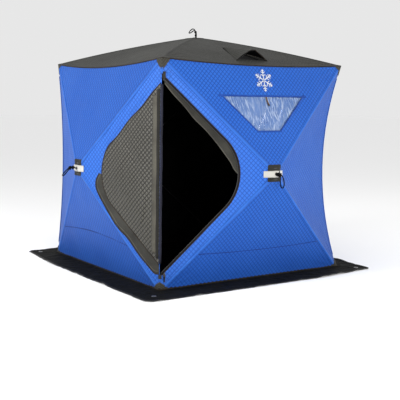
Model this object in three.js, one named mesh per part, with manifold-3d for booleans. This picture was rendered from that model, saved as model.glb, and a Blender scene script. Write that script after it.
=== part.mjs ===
// Two-person hub ice fishing shelter, set up, with its corner door unzipped and folded back.
// Millimetres, +Z up, origin on the ground at the middle of the plan. The front wall faces -Y,
// the left wall -X, and the door is on the corner between them.
//
// Each wall and the roof is a five-point panel: a hub pushed outwards on four fibreglass poles,
// whose far ends sit in the panel's corners. Pulling the hub pops the panel out, pushing it
// pops the panel in.

import * as THREE from 'three';
import { mergeVertices } from 'three/addons/utils/BufferGeometryUtils.js';
import Module from 'manifold-3d';

const wasm = await Module();
wasm.setup();

// ---- driving dimensions ----
const HALF = 900; // centre line to each corner, on the ground and at the eaves
const EAVES = 1740; // height of the top corners
const PEAK = 1985; // height of the roof's hub point
const HUB_OUT = 250; // a wall's hub point stands this far outside the line of its corners
const HUB_HEIGHT = 865; // height of a wall's hub point

const SKIN = 4; // insulated quilted fabric
const SEAM = 7; // margin along every edge that the seam tape bridges
const GAP = 0.4; // between pieces that lie on each other
const EDGE_STEPS = 8; // straight lengths in each curved edge
const CORNER_SAG = [0, 140, 120, 50]; // corner seams drawn in at mid height: door corner, then anticlockwise
const EAVES_SAG = [30, 35, 35, 50]; // eaves seams drawn down at their middle: front, right, back, left
const HUB_HOLE = 100; // slant length of the round hole in each panel that its hub patch closes
const CUT_DEPTH = 30; // half the depth of a cut through a panel

const POLE_R = 5.5;
const POLE_DEPTH = 14; // pole axis below the ridge of the skin, along the panel's normal
const POLE_SHORT = 64; // pole tip to the panel's corner, along the ridge
const PIVOT_R = 40; // pole pivots, from the hub's axis
const TANG_WIDE = 7;
const TANG_HIGH = 10;
const PIN_R = 3;
const BORE_R = 3.4;
const HUB_R = 50;
const HUB_TOP = 8.6; // depth of the hub's outer face below the hub point
const HUB_DEEP = 33;
const SLOT_WIDE = 8;
const SLOT_IN = 26; // inner end of a pole slot, from the hub's axis
const SLOT_LONG = 40;
const SLOT_DEEP = 60;
const ROD_START = 14; // where a pole's round rod begins, from its pivot
const TANG_LONG = 30;

const PATCH_WIDE = 116;
const PATCH_HIGH = 134;
const PATCH_TOP = 3;
const PATCH_THICK = 5;

const CAP_REACH = 76;
const CAP_GAP = 0.9;
const CAP_THICK = 3.5;

const SKIRT_HALF = 1160;
const SKIRT_CORNER = 45;
const SKIRT_IN = 888;
const SKIRT_THICK = 4;
const EYELET_AT = 1020;
const EYELET_HOLE = 12;
const EYELET_FLANGE = 19;

const DOOR_TOP = 1622; // where the door's zips meet the corner
const DOOR_BOTTOM = 105;
const DOOR_TIP = 777; // where its straight edges would meet, along the wall
const DOOR_TIP_Z = 872;
const DOOR_ROUND = 363; // radius that rounds that tip
const LEAF = { top: 1558, bottom: 197, tip: 745, tipZ: 840, round: 326, start: 2 };
const LEAF_THICK = 6;
const LEAF_GAP = 1;
const LEFT_HALF_INSET = 2;
const FLAP_THICK = 3;
// The storm flap backs the upper zip inside the front wall and stands into the doorway.
const FLAP = [
  [16, 1626], [16, 1560], [436, 1114], [490, 1047], [557, 959], [590, 905], [630, 862],
  [647, 869], [634, 967], [596, 1057], [532, 1140],
];

const WINDOW = { topZ: 1465, bottomZ: 1198, topHalf: 400, bottomHalf: 114 };
const PANE_THICK = 2;
const PANE_LAP = 14;

const VENT = { baseHalf: 150, tipHalf: 24, base: 70, tip: 500 }; // hole in the roof, up from the eaves
const MESH_THICK = 1.5;
const MESH_LAP = 12;
const MESH_DEPTH = 3; // below the skin
// The hood's hinge line is its narrow end, start up the slope and lift above it, and open in degrees.
const HOOD = { baseHalf: 120, tipHalf: 34, thick: 3, start: 520, lift: 5, length: 478, open: 13.5 };

// The zip slider is parked along the wall from the corner and above the lower zip's end.
const SLIDER = { along: 34, above: 17, wide: 16, tip: 10, long: 34, thick: 6 };
const PULL_TAB = { half: 5, long: 36, lap: 3, low: 1, high: 4 };
const CORD_R = 2.5;
const CORD_STEPS = 26;
const CORD_ARCS = 5; // each half turn of the cord's section

// ---- materials ----
function cloth(color) {
  return new THREE.MeshStandardMaterial({ color, roughness: 0.75, metalness: 0 });
}

const blue = cloth(0x2f62d6);
const charcoal = cloth(0x4a4b45);
const lining = cloth(0x6c6c62);
const black = cloth(0x1e2022);
const webbing = cloth(0x33332e);
const clear = new THREE.MeshStandardMaterial({ color: 0xa9c0ea, roughness: 0.2, metalness: 0 });
const fibreglass = new THREE.MeshStandardMaterial({ color: 0x202225, roughness: 0.45, metalness: 0 });
const castHub = new THREE.MeshStandardMaterial({ color: 0x3a3d40, roughness: 0.5, metalness: 0.6 });
const steel = new THREE.MeshStandardMaterial({ color: 0xa6a9ac, roughness: 0.35, metalness: 1 });

// ---- solids ----
function toManifold(geometry) {
  const bare = geometry.clone();
  bare.deleteAttribute('normal');
  bare.deleteAttribute('uv');
  const merged = mergeVertices(bare, 1e-4);
  return new wasm.Manifold(new wasm.Mesh({
    numProp: 3,
    vertProperties: new Float32Array(merged.attributes.position.array),
    triVerts: new Uint32Array(merged.index.array),
  }));
}

function toGeometry(manifold) {
  const mesh = manifold.getMesh();
  const geometry = new THREE.BufferGeometry();
  geometry.setAttribute('position', new THREE.BufferAttribute(new Float32Array(mesh.vertProperties), 3));
  geometry.setIndex(new THREE.BufferAttribute(new Uint32Array(mesh.triVerts), 1));
  geometry.computeVertexNormals();
  return geometry;
}

function cut(base, ...tools) {
  return toGeometry(tools.reduce((left, tool) => left.subtract(toManifold(tool)), toManifold(base)));
}

function join(first, ...others) {
  return toGeometry(others.reduce((sum, other) => sum.add(toManifold(other)), toManifold(first)));
}

const shelter = new THREE.Group();

function place(name, geometry, material) {
  const mesh = new THREE.Mesh(geometry, material);
  mesh.name = name;
  shelter.add(mesh);
  return mesh;
}

// A shell between two copies of an open surface, moved by far (its outer side) and near.
function thicken(points, faces, far, near) {
  const count = points.length;
  const flat = [];
  for (const shift of [far, near]) {
    for (const point of points) flat.push(...point.clone().add(shift).toArray());
  }
  const index = [];
  const edges = new Set(faces.flatMap(([a, b, c]) => [`${a},${b}`, `${b},${c}`, `${c},${a}`]));
  for (const [a, b, c] of faces) {
    index.push(a, b, c);
    index.push(a + count, c + count, b + count);
  }
  for (const edge of edges) {
    const [a, b] = edge.split(',').map(Number);
    if (edges.has(`${b},${a}`)) continue;
    index.push(a, a + count, b + count);
    index.push(a, b + count, b);
  }
  const geometry = new THREE.BufferGeometry();
  geometry.setAttribute('position', new THREE.Float32BufferAttribute(flat, 3));
  geometry.setIndex(index);
  geometry.computeVertexNormals();
  return geometry;
}

function outline(points) {
  return new THREE.Shape(points.map(([x, y]) => new THREE.Vector2(x, y)));
}

// A plate of the given outline, whose faces lie at heights low and high over a sloping plane.
function plate(shape, plane, low, high, curveSegments = 10) {
  const geometry = new THREE.ExtrudeGeometry(shape, { depth: high - low, bevelEnabled: false, curveSegments });
  geometry.translate(0, 0, low);
  geometry.applyMatrix4(plane);
  return geometry;
}

function planeAt(origin, across, up) {
  const out = across.clone().cross(up);
  return new THREE.Matrix4().makeBasis(across, up, out).setPosition(origin);
}

// ---- panels ----
// Every point below is written for the front wall, and turned to the other walls.
function sag(depth, share) {
  return 4 * depth * share * (1 - share);
}

function cornerSeam(side, depth) {
  return Array.from({ length: EDGE_STEPS + 1 }, (_, i) => {
    const share = i / EDGE_STEPS;
    const inward = sag(depth, share) / Math.SQRT2;
    return new THREE.Vector3(side * (HALF - inward), -(HALF - inward), EAVES * share);
  });
}

function eavesSeam(depth) {
  const slope = HUB_OUT / (EAVES - HUB_HEIGHT);
  return Array.from({ length: EDGE_STEPS + 1 }, (_, i) => {
    const share = i / EDGE_STEPS;
    const down = sag(depth, share);
    return new THREE.Vector3(HALF * (1 - 2 * share), -HALF - slope * down, EAVES - down);
  });
}

function turn(points, quarter) {
  const matrix = new THREE.Matrix4().makeRotationZ(quarter * Math.PI / 2);
  return points.map((point) => point.clone().applyMatrix4(matrix));
}

// A panel's skin: straight rays from the hub point to the edge, between the hub hole and the seam.
function panelSkin(apex, edge, inward) {
  const rays = edge.map((point) => point.clone().sub(apex));
  const outer = rays.map((ray) => apex.clone().add(ray.clone().setLength(ray.length() - SEAM)));
  const inner = rays.map((ray) => apex.clone().add(ray.clone().setLength(HUB_HOLE)));
  const count = edge.length;
  const faces = [];
  for (let i = 0; i < count; i += 1) {
    const next = (i + 1) % count;
    faces.push([i, next, count + next]);
    faces.push([i, count + next, count + i]);
  }
  return thicken([...outer, ...inner], faces, new THREE.Vector3(), inward.clone().multiplyScalar(SKIN));
}

const wallNames = ['front', 'right', 'back', 'left'];
const wallApex = new THREE.Vector3(0, -HALF - HUB_OUT, HUB_HEIGHT);
const roofApex = new THREE.Vector3(0, 0, PEAK);

const panels = wallNames.map((name, quarter) => {
  const nextCorner = (quarter + 1) % 4;
  const ground = [new THREE.Vector3(-HALF, -HALF, 0), new THREE.Vector3(0, -HALF, 0)];
  const right = cornerSeam(1, CORNER_SAG[nextCorner]);
  const top = eavesSeam(EAVES_SAG[quarter]);
  const left = cornerSeam(-1, CORNER_SAG[quarter]).reverse();
  const edge = [...ground, ...right.slice(0, -1), ...top.slice(0, -1), ...left.slice(0, -1)];
  const corners = [ground[0], right[0], top[0], left[0]];
  const [apex, inward, across] = turn([wallApex, new THREE.Vector3(0, 1, 0), new THREE.Vector3(1, 0, 0)], quarter);
  return {
    name,
    apex,
    inward,
    across,
    up: new THREE.Vector3(0, 0, 1),
    edge: turn(edge, quarter),
    corners: turn(corners, quarter),
    poleNames: ['bottom_left', 'bottom_right', 'top_right', 'top_left'],
  };
});

const roofEdge = wallNames.flatMap((_, quarter) => {
  return turn(eavesSeam(EAVES_SAG[quarter]).reverse().slice(0, -1), quarter);
});
panels.push({
  name: 'roof',
  apex: roofApex,
  inward: new THREE.Vector3(0, 0, -1),
  across: new THREE.Vector3(1, 0, 0),
  up: new THREE.Vector3(0, 1, 0),
  edge: roofEdge,
  corners: [0, 1, 2, 3].map((quarter) => roofEdge[quarter * EDGE_STEPS]),
  poleNames: ['front_left', 'front_right', 'back_right', 'back_left'],
});

// ---- the corner door, the window and the roof vent ----
const cosWall = HALF / Math.hypot(HALF, HUB_OUT);
const sinWall = HUB_OUT / Math.hypot(HALF, HUB_OUT);
const doorCorner = new THREE.Vector3(-HALF, -HALF, 0);
const frontFacet = planeAt(doorCorner, new THREE.Vector3(cosWall, -sinWall, 0), new THREE.Vector3(0, 0, 1));
// On the left wall the outlines are mirrored, so that their faces still point outwards.
const leftFacet = planeAt(doorCorner, new THREE.Vector3(sinWall, -cosWall, 0), new THREE.Vector3(0, 0, 1));

// Half of the door: a triangle on the corner whose far tip is rounded. start is its edge at the corner.
function doorHalf({ top, bottom, tip, tipZ, round }, start, inset = 0, mirror = 1) {
  const upper = Math.atan2(top - tipZ, tip);
  const lower = Math.atan2(tipZ - bottom, tip);
  const half = (Math.PI - upper - lower) / 2;
  const back = round / Math.sin(half);
  const axis = (upper - lower) / 2;
  const centre = [tip - back * Math.cos(axis), tipZ + back * Math.sin(axis)];
  const shape = new THREE.Shape();
  const radius = round - inset;
  const rise = inset / Math.cos(upper);
  const drop = inset / Math.cos(lower);
  const points = [[start, bottom + drop + start * Math.tan(lower)]];
  const arcSteps = 14;
  for (let i = 0; i <= arcSteps; i += 1) {
    const angle = -Math.PI / 2 + lower + (Math.PI - upper - lower) * (i / arcSteps);
    points.push([centre[0] + radius * Math.cos(angle), centre[1] + radius * Math.sin(angle)]);
  }
  points.push([start, top - rise - start * Math.tan(upper)]);
  shape.setFromPoints(points.map(([x, y]) => new THREE.Vector2(mirror * x, y)));
  return shape;
}

const OPENING = { top: DOOR_TOP, bottom: DOOR_BOTTOM, tip: DOOR_TIP, tipZ: DOOR_TIP_Z, round: DOOR_ROUND };
const PAST_CORNER = -20; // a cut through the door starts past the corner
const doorCutFront = plate(doorHalf(OPENING, PAST_CORNER), frontFacet, -CUT_DEPTH, CUT_DEPTH);
const doorCutLeft = plate(doorHalf(OPENING, PAST_CORNER, 0, -1), leftFacet, -CUT_DEPTH, CUT_DEPTH);

const topSlope = Math.atan2(HUB_OUT, EAVES - HUB_HEIGHT);
const windowFacet = planeAt(
  new THREE.Vector3(0, -HALF, EAVES),
  new THREE.Vector3(1, 0, 0),
  new THREE.Vector3(0, Math.sin(topSlope), Math.cos(topSlope)),
);

function windowShape(lap) {
  const toPlane = (z) => (z - EAVES) / Math.cos(topSlope);
  const { topZ, bottomZ, topHalf, bottomHalf } = WINDOW;
  const side = lap * 1.4;
  return outline([
    [-bottomHalf - side, toPlane(bottomZ) - lap],
    [bottomHalf + side, toPlane(bottomZ) - lap],
    [topHalf + side * 1.5, toPlane(topZ) + lap],
    [-topHalf - side * 1.5, toPlane(topZ) + lap],
  ]);
}

const eavesDrop = EAVES_SAG[0];
const eavesOut = HALF + (HUB_OUT / (EAVES - HUB_HEIGHT)) * eavesDrop;
const roofSlope = Math.atan2(PEAK - EAVES + eavesDrop, eavesOut);
const ventFacet = planeAt(
  new THREE.Vector3(0, -eavesOut, EAVES - eavesDrop),
  new THREE.Vector3(1, 0, 0),
  new THREE.Vector3(0, Math.cos(roofSlope), Math.sin(roofSlope)),
);

function ventShape(lap) {
  return outline([
    [-VENT.baseHalf - lap, VENT.base - lap],
    [VENT.baseHalf + lap, VENT.base - lap],
    [VENT.tipHalf + lap, VENT.tip + lap],
    [-VENT.tipHalf - lap, VENT.tip + lap],
  ]);
}

const cutsByPanel = {
  front: [doorCutFront, plate(windowShape(0), windowFacet, -CUT_DEPTH, CUT_DEPTH)],
  left: [doorCutLeft],
  roof: [plate(ventShape(0), ventFacet, -CUT_DEPTH, CUT_DEPTH)],
};

function addSkins() {
  for (const panel of panels) {
    const skin = panelSkin(panel.apex, panel.edge, panel.inward);
    const name = panel.name === 'roof' ? 'roof' : `wall_${panel.name}`;
    const material = panel.name === 'roof' ? charcoal : blue;
    place(name, cut(skin, ...(cutsByPanel[panel.name] ?? [])), material);
  }
}

function addDoor() {
  const normalSkin = SKIN * cosWall;
  const leftHalf = doorHalf(OPENING, SEAM, LEFT_HALF_INSET, -1);
  place('door_left_half', plate(leftHalf, leftFacet, -normalSkin, 0), blue);
  const leaf = doorHalf(LEAF, LEAF.start, 0, -1);
  place('door_right_half', plate(leaf, leftFacet, LEAF_GAP, LEAF_GAP + LEAF_THICK), lining);
  const under = -normalSkin - GAP;
  place('door_storm_flap', plate(outline(FLAP), frontFacet, under - FLAP_THICK, under), black);
}

// The slider and its pull tab run over the zip, clear of the closed door.
function addZipSlider() {
  const { along, above, wide, tip, long, thick } = SLIDER;
  const lift = LEAF_GAP + LEAF_THICK + GAP;
  const flat = new THREE.Matrix4();
  const body = plate(outline([
    [-wide / 2, -long / 2], [wide / 2, -long / 2], [tip / 2, long / 2], [-tip / 2, long / 2],
  ]), flat, lift, lift + thick);
  const { half, long: tabLong, lap, low, high } = PULL_TAB;
  const tab = plate(outline([
    [-half, -long / 2 - tabLong], [half, -long / 2 - tabLong], [half, lap - long / 2], [-half, lap - long / 2],
  ]), flat, lift + low, lift + high);
  const slider = join(body, tab);
  slider.applyMatrix4(new THREE.Matrix4().makeTranslation(along, DOOR_BOTTOM + above, 0));
  slider.applyMatrix4(frontFacet);
  place('zipper_slider', slider, black);
}

function addWindow() {
  const under = -SKIN * Math.cos(topSlope) - GAP;
  place('window_pane', plate(windowShape(PANE_LAP), windowFacet, under - PANE_THICK, under), clear);
}

function addVent() {
  const under = -SKIN - MESH_DEPTH;
  place('vent_mesh', plate(ventShape(MESH_LAP), ventFacet, under - MESH_THICK, under), black);
  const hood = plate(outline([
    [-HOOD.baseHalf, -HOOD.length], [HOOD.baseHalf, -HOOD.length], [HOOD.tipHalf, 0], [-HOOD.tipHalf, 0],
  ]), new THREE.Matrix4(), -HOOD.thick / 2, HOOD.thick / 2);
  hood.rotateX(-THREE.MathUtils.degToRad(HOOD.open));
  hood.translate(0, HOOD.start, HOOD.lift);
  hood.applyMatrix4(ventFacet);
  place('vent_hood', hood, charcoal);
}

// ---- hubs and poles ----
function poleDirection(panel, corner) {
  return corner.clone().sub(panel.apex).normalize();
}

function hubTurn(panel, corner) {
  const ray = corner.clone().sub(panel.apex);
  return Math.atan2(ray.dot(panel.up), ray.dot(panel.across));
}

function poleTilt(panel, corner) {
  return Math.asin(poleDirection(panel, corner).dot(panel.inward));
}

function pivotDepth(panel, corner) {
  return POLE_DEPTH + PIVOT_R * Math.tan(poleTilt(panel, corner));
}

function hubGeometry(panel) {
  const profile = [
    [0, -HUB_DEEP], [HUB_R - 6, -HUB_DEEP], [HUB_R, -HUB_DEEP + 5],
    [HUB_R, -HUB_TOP - 3], [HUB_R - 3, -HUB_TOP], [0, -HUB_TOP],
  ];
  const disc = new THREE.LatheGeometry(profile.map(([r, z]) => new THREE.Vector2(r, z)), 28);
  disc.rotateX(Math.PI / 2);
  const slots = [];
  const pins = [];
  for (const corner of panel.corners) {
    const angle = hubTurn(panel, corner);
    const slot = new THREE.BoxGeometry(SLOT_LONG, SLOT_WIDE, SLOT_DEEP);
    slot.translate(SLOT_IN + SLOT_LONG / 2, 0, -SLOT_DEEP / 3);
    slots.push(slot.rotateZ(angle));
    const pin = new THREE.CylinderGeometry(PIN_R, PIN_R, SLOT_WIDE + 4, 10);
    pin.translate(PIVOT_R, 0, -pivotDepth(panel, corner));
    pins.push(pin.rotateZ(angle));
  }
  return join(cut(disc, ...slots), ...pins);
}

function addHub(panel) {
  const frame = new THREE.Matrix4().makeBasis(panel.across, panel.up, panel.inward.clone().negate());
  frame.setPosition(panel.apex);
  place(`hub_${panel.name}`, hubGeometry(panel).applyMatrix4(frame), castHub);
  const wide = PATCH_WIDE / 2;
  const high = PATCH_HIGH / 2;
  const patch = outline([[-wide, -high], [wide, -high], [wide, high], [-wide, high]]);
  place(`hub_patch_${panel.name}`, plate(patch, frame, -PATCH_TOP - PATCH_THICK, -PATCH_TOP), webbing);
  return frame;
}

function poleGeometry(length) {
  const profile = [
    [0, ROD_START], [POLE_R - 1, ROD_START], [POLE_R, ROD_START + 2],
    [POLE_R, length - 3], [POLE_R - 2.5, length], [0, length],
  ];
  const rod = new THREE.LatheGeometry(profile.map(([r, x]) => new THREE.Vector2(r, x)), 10);
  rod.rotateZ(-Math.PI / 2);
  const tang = new THREE.BoxGeometry(TANG_LONG, TANG_WIDE, TANG_HIGH);
  tang.translate(TANG_LONG / 5, 0, 0);
  const bore = new THREE.CylinderGeometry(BORE_R, BORE_R, 2 * TANG_WIDE, 12);
  return cut(join(rod, tang), bore);
}

function addPoles(panel) {
  panel.corners.forEach((corner, i) => {
    const along = poleDirection(panel, corner);
    const pinAxis = panel.inward.clone().cross(along).normalize();
    const over = along.clone().cross(pinAxis);
    const fromApex = PIVOT_R / Math.cos(poleTilt(panel, corner));
    const pivot = panel.apex.clone()
      .addScaledVector(panel.inward, POLE_DEPTH)
      .addScaledVector(along, fromApex);
    const length = corner.distanceTo(panel.apex) - fromApex - POLE_SHORT;
    const frame = new THREE.Matrix4().makeBasis(along, pinAxis, over).setPosition(pivot);
    const pole = place(`pole_${panel.name}_${panel.poleNames[i]}`, poleGeometry(length), fibreglass);
    pole.applyMatrix4(frame);
  });
}

// ---- pull cords ----
// Each is one loop of cord whose ends go back into the hub patch. Points are across, up and out
// from the hub point.
const cordStart = -PATCH_TOP + 2 * GAP;
const hangingLoop = [
  [-3.4, 0, cordStart], [-3.4, 0.5, 14], [-3.4, 1, 32], [-3.6, 0, 48], [-5.5, -12, 60], [-7.5, -40, 65],
  [-7, -74, 68], [-4, -93, 69], [3, -102, 69], [10.5, -95, 69], [14, -74, 68], [12.5, -40, 65],
  [6.5, -12, 60], [3.6, 0, 48], [3.4, 1, 32], [3.4, 0.5, 14], [3.4, 0, cordStart],
];
const reachingLoop = [
  [-3.4, 0, cordStart], [-3.4, 0.3, 5], [-3.4, 4, 17], [-3.4, 8, 32], [-3.6, 9, 48], [-6.5, 0, 66], [-10, -22, 90],
  [-10, -42, 108], [-6, -53, 117], [0, -57, 121], [6, -53, 117], [10, -42, 108], [10, -22, 90],
  [6.5, 0, 66], [3.6, 9, 48], [3.4, 8, 32], [3.4, 4, 17], [3.4, 0.3, 5], [3.4, 0, cordStart],
];
const standingLoop = [
  [4, 3.4, cordStart], [4, 3.4, 14], [4, 3.6, 30], [3, 5, 50], [-4, 7, 68], [-20, 9, 74],
  [-42, 10, 60], [-58, 9, 42], [-65, 0, 34], [-58, -9, 38], [-42, -10, 50], [-22, -9, 58],
  [-6, -6.5, 52], [2, -4.4, 40], [4, -3.5, 28], [4, -3.4, 14], [4, -3.4, cordStart],
];
const loopByPanel = {
  front: hangingLoop, right: hangingLoop, back: hangingLoop, left: reachingLoop, roof: standingLoop,
};

function cordGeometry(points) {
  const path = new THREE.CatmullRomCurve3(points.map((p) => new THREE.Vector3(...p)));
  const section = new THREE.Shape();
  section.absarc(0, 0, CORD_R, 0, 2 * Math.PI);
  const options = { steps: CORD_STEPS, curveSegments: CORD_ARCS, extrudePath: path };
  return new THREE.ExtrudeGeometry(section, options);
}

// ---- corner caps, skirt and eyelets ----
function capSolid(corner, rays, closed, out) {
  const points = [corner, ...rays.map((ray) => corner.clone().addScaledVector(ray, CAP_REACH))];
  const faces = [];
  for (let i = 1; i < rays.length; i += 1) faces.push([0, i, i + 1]);
  if (closed) faces.push([0, rays.length, 1]);
  const far = out.clone().multiplyScalar(CAP_GAP + CAP_THICK);
  return thicken(points, faces, far, out.clone().multiplyScalar(CAP_GAP));
}

function addCaps() {
  const cornerNames = ['front_left', 'front_right', 'back_right', 'back_left'];
  cornerNames.forEach((name, quarter) => {
    // Written for the front left corner: its two walls are the front wall and, before it, the left one.
    const seam = cornerSeam(-1, CORNER_SAG[quarter]);
    const front = eavesSeam(EAVES_SAG[quarter]).reverse();
    const side = turn(eavesSeam(EAVES_SAG[(quarter + 3) % 4]), -1);
    const sideApex = turn([wallApex], -1)[0];
    const toward = (from, to) => to.clone().sub(from).normalize();
    const top = seam[EDGE_STEPS];
    const topRays = [
      toward(top, seam[EDGE_STEPS - 1]), toward(top, wallApex), toward(top, front[1]),
      toward(top, roofApex), toward(top, side[1]), toward(top, sideApex),
    ];
    const bottom = seam[0];
    const bottomRays = [
      new THREE.Vector3(1, 0, 0), toward(bottom, wallApex), toward(bottom, seam[1]),
      toward(bottom, sideApex), new THREE.Vector3(0, 1, 0),
    ];
    const spin = new THREE.Matrix4().makeRotationZ(quarter * Math.PI / 2);
    const topCap = capSolid(top, topRays, true, new THREE.Vector3(-1, -1, 1).normalize());
    place(`corner_cap_top_${name}`, topCap.applyMatrix4(spin), black);
    const ground = new THREE.BoxGeometry(400, 400, 20);
    ground.translate(-HALF, -HALF, SKIRT_THICK + GAP - 10);
    const bottomCap = cut(capSolid(bottom, bottomRays, false, new THREE.Vector3(-1, -1, 0).normalize()), ground);
    place(`corner_cap_bottom_${name}`, bottomCap.applyMatrix4(spin), black);
  });
}

function addSkirt() {
  const far = SKIRT_HALF;
  const near = SKIRT_HALF - SKIRT_CORNER;
  const shape = outline([
    [near, -far], [far, -near], [far, near], [near, far], [-near, far], [-far, near], [-far, -near], [-near, -far],
  ]);
  const inside = SKIRT_IN;
  shape.holes.push(new THREE.Path([
    new THREE.Vector2(-inside, -inside), new THREE.Vector2(-inside, inside),
    new THREE.Vector2(inside, inside), new THREE.Vector2(inside, -inside),
  ]));
  const signs = [[-1, -1], [1, -1], [1, 1], [-1, 1]];
  for (const [x, y] of signs) {
    const hole = new THREE.Path();
    hole.absarc(x * EYELET_AT, y * EYELET_AT, EYELET_HOLE, 0, 2 * Math.PI, true);
    shape.holes.push(hole);
  }
  place('snow_skirt', plate(shape, new THREE.Matrix4(), 0, SKIRT_THICK, 8), black);

  const barrel = EYELET_HOLE - GAP;
  const bore = EYELET_HOLE - 3;
  const top = SKIRT_THICK + GAP;
  const profile = [
    [bore, 0.5], [barrel, 0.5], [barrel, top], [EYELET_FLANGE, top], [EYELET_FLANGE - 1, top + 1.6],
    [bore + 1, top + 1.6], [bore, top + 0.8], [bore, 0.5],
  ];
  const names = ['front_left', 'front_right', 'back_right', 'back_left'];
  names.forEach((name, i) => {
    const ring = new THREE.LatheGeometry(profile.map(([r, z]) => new THREE.Vector2(r, z)), 20);
    ring.rotateX(Math.PI / 2);
    const eyelet = place(`anchor_eyelet_${name}`, ring, steel);
    eyelet.position.set(signs[i][0] * EYELET_AT, signs[i][1] * EYELET_AT, 0);
  });
}

addSkins();
addDoor();
addZipSlider();
addWindow();
addVent();
for (const panel of panels) {
  const frame = addHub(panel);
  addPoles(panel);
  place(`pull_cord_${panel.name}`, cordGeometry(loopByPanel[panel.name]).applyMatrix4(frame), black);
}
addCaps();
addSkirt();

export default shelter;
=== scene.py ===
import math

import bmesh
import bpy
import numpy as np
from mathutils import Matrix, Vector, noise
from mathutils.geometry import delaunay_2d_cdt


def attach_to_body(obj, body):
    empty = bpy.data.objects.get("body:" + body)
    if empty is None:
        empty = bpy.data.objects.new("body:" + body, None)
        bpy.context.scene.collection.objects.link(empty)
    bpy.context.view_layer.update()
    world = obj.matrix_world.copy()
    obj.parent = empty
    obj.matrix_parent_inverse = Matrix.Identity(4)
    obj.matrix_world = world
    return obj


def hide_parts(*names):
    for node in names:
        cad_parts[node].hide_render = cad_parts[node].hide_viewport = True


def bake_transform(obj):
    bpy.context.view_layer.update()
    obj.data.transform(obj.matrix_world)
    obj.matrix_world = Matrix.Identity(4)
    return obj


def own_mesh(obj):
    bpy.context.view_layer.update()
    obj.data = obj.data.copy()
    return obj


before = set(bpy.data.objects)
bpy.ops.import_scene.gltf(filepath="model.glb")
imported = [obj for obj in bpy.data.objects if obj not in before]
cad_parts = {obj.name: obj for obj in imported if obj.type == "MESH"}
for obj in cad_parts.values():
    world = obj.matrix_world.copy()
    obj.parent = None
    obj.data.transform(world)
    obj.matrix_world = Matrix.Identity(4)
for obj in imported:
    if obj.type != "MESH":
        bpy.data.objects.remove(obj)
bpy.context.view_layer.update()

# A two-person hub ice fishing shelter, set up, with its corner door unzipped and folded back over
# the left wall. Metres, +Z up. The front wall faces -Y, the left wall -X. Every panel is a skin
# stretched from its hub point to its seams.

# ---- driving dimensions, as the CAD has them ----
HALF = 0.9
EAVES = 1.74
PEAK = 1.985
HUB_OUT = 0.25
HUB_HEIGHT = 0.865
CORNERS = ("front_left", "front_right", "back_right", "back_left")
CORNER_SAG = (0.0, 0.140, 0.120, 0.050)
EAVES_SAG = (0.030, 0.035, 0.035, 0.050)
EDGE_STEPS = 16
ROOF_BOW = 0.018  # the roof poles bend upwards
DOOR = {"top": 1.622, "bottom": 0.105, "tip": 0.777, "tip_z": 0.872, "radius": 0.363}
LEAF = {"top": 1.558, "bottom": 0.197, "tip": 0.745, "tip_z": 0.840, "radius": 0.326}
WINDOW = {"top": 1.465, "bottom": 1.198, "top_half": 0.400, "bottom_half": 0.114}
VENT_HOLE = {"base_half": 0.125, "tip_half": 0.024, "base": 0.150, "tip": 0.490}
SKIRT_HALF = 1.160
SKIRT_CORNER = 0.030
SKIRT_GATHER = 0.042  # the skirt is drawn in at its left and right corners
EYELET_AT = 1.020

QUILT = 0.027  # pitch of the stitched squares
STEP = QUILT / 2  # two mesh steps to a square, so that each one has a raised middle
PUFF = 0.0020  # how far a square stands up between its stitches
LINING_DEPTH = -0.005
CORD_D = 0.0088
CORD_SPREAD = 1.7  # a loop's strands stand this much further apart than in the CAD, whose cord is thinner
ROUTE_STEP = 0.012  # mesh step along the door's zips, hems and bindings

# ---- materials ----
LIT = 1.9  # how much light falls on a wall, where the pale floor shows as almost white


def shown(rgb):
    """The base colour of something that shows as this sRGB colour in the studio's light."""
    return tuple((c / 255 / 12.92 if c <= 10 else ((c / 255 + 0.055) / 1.055) ** 2.4) / LIT for c in rgb)


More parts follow.
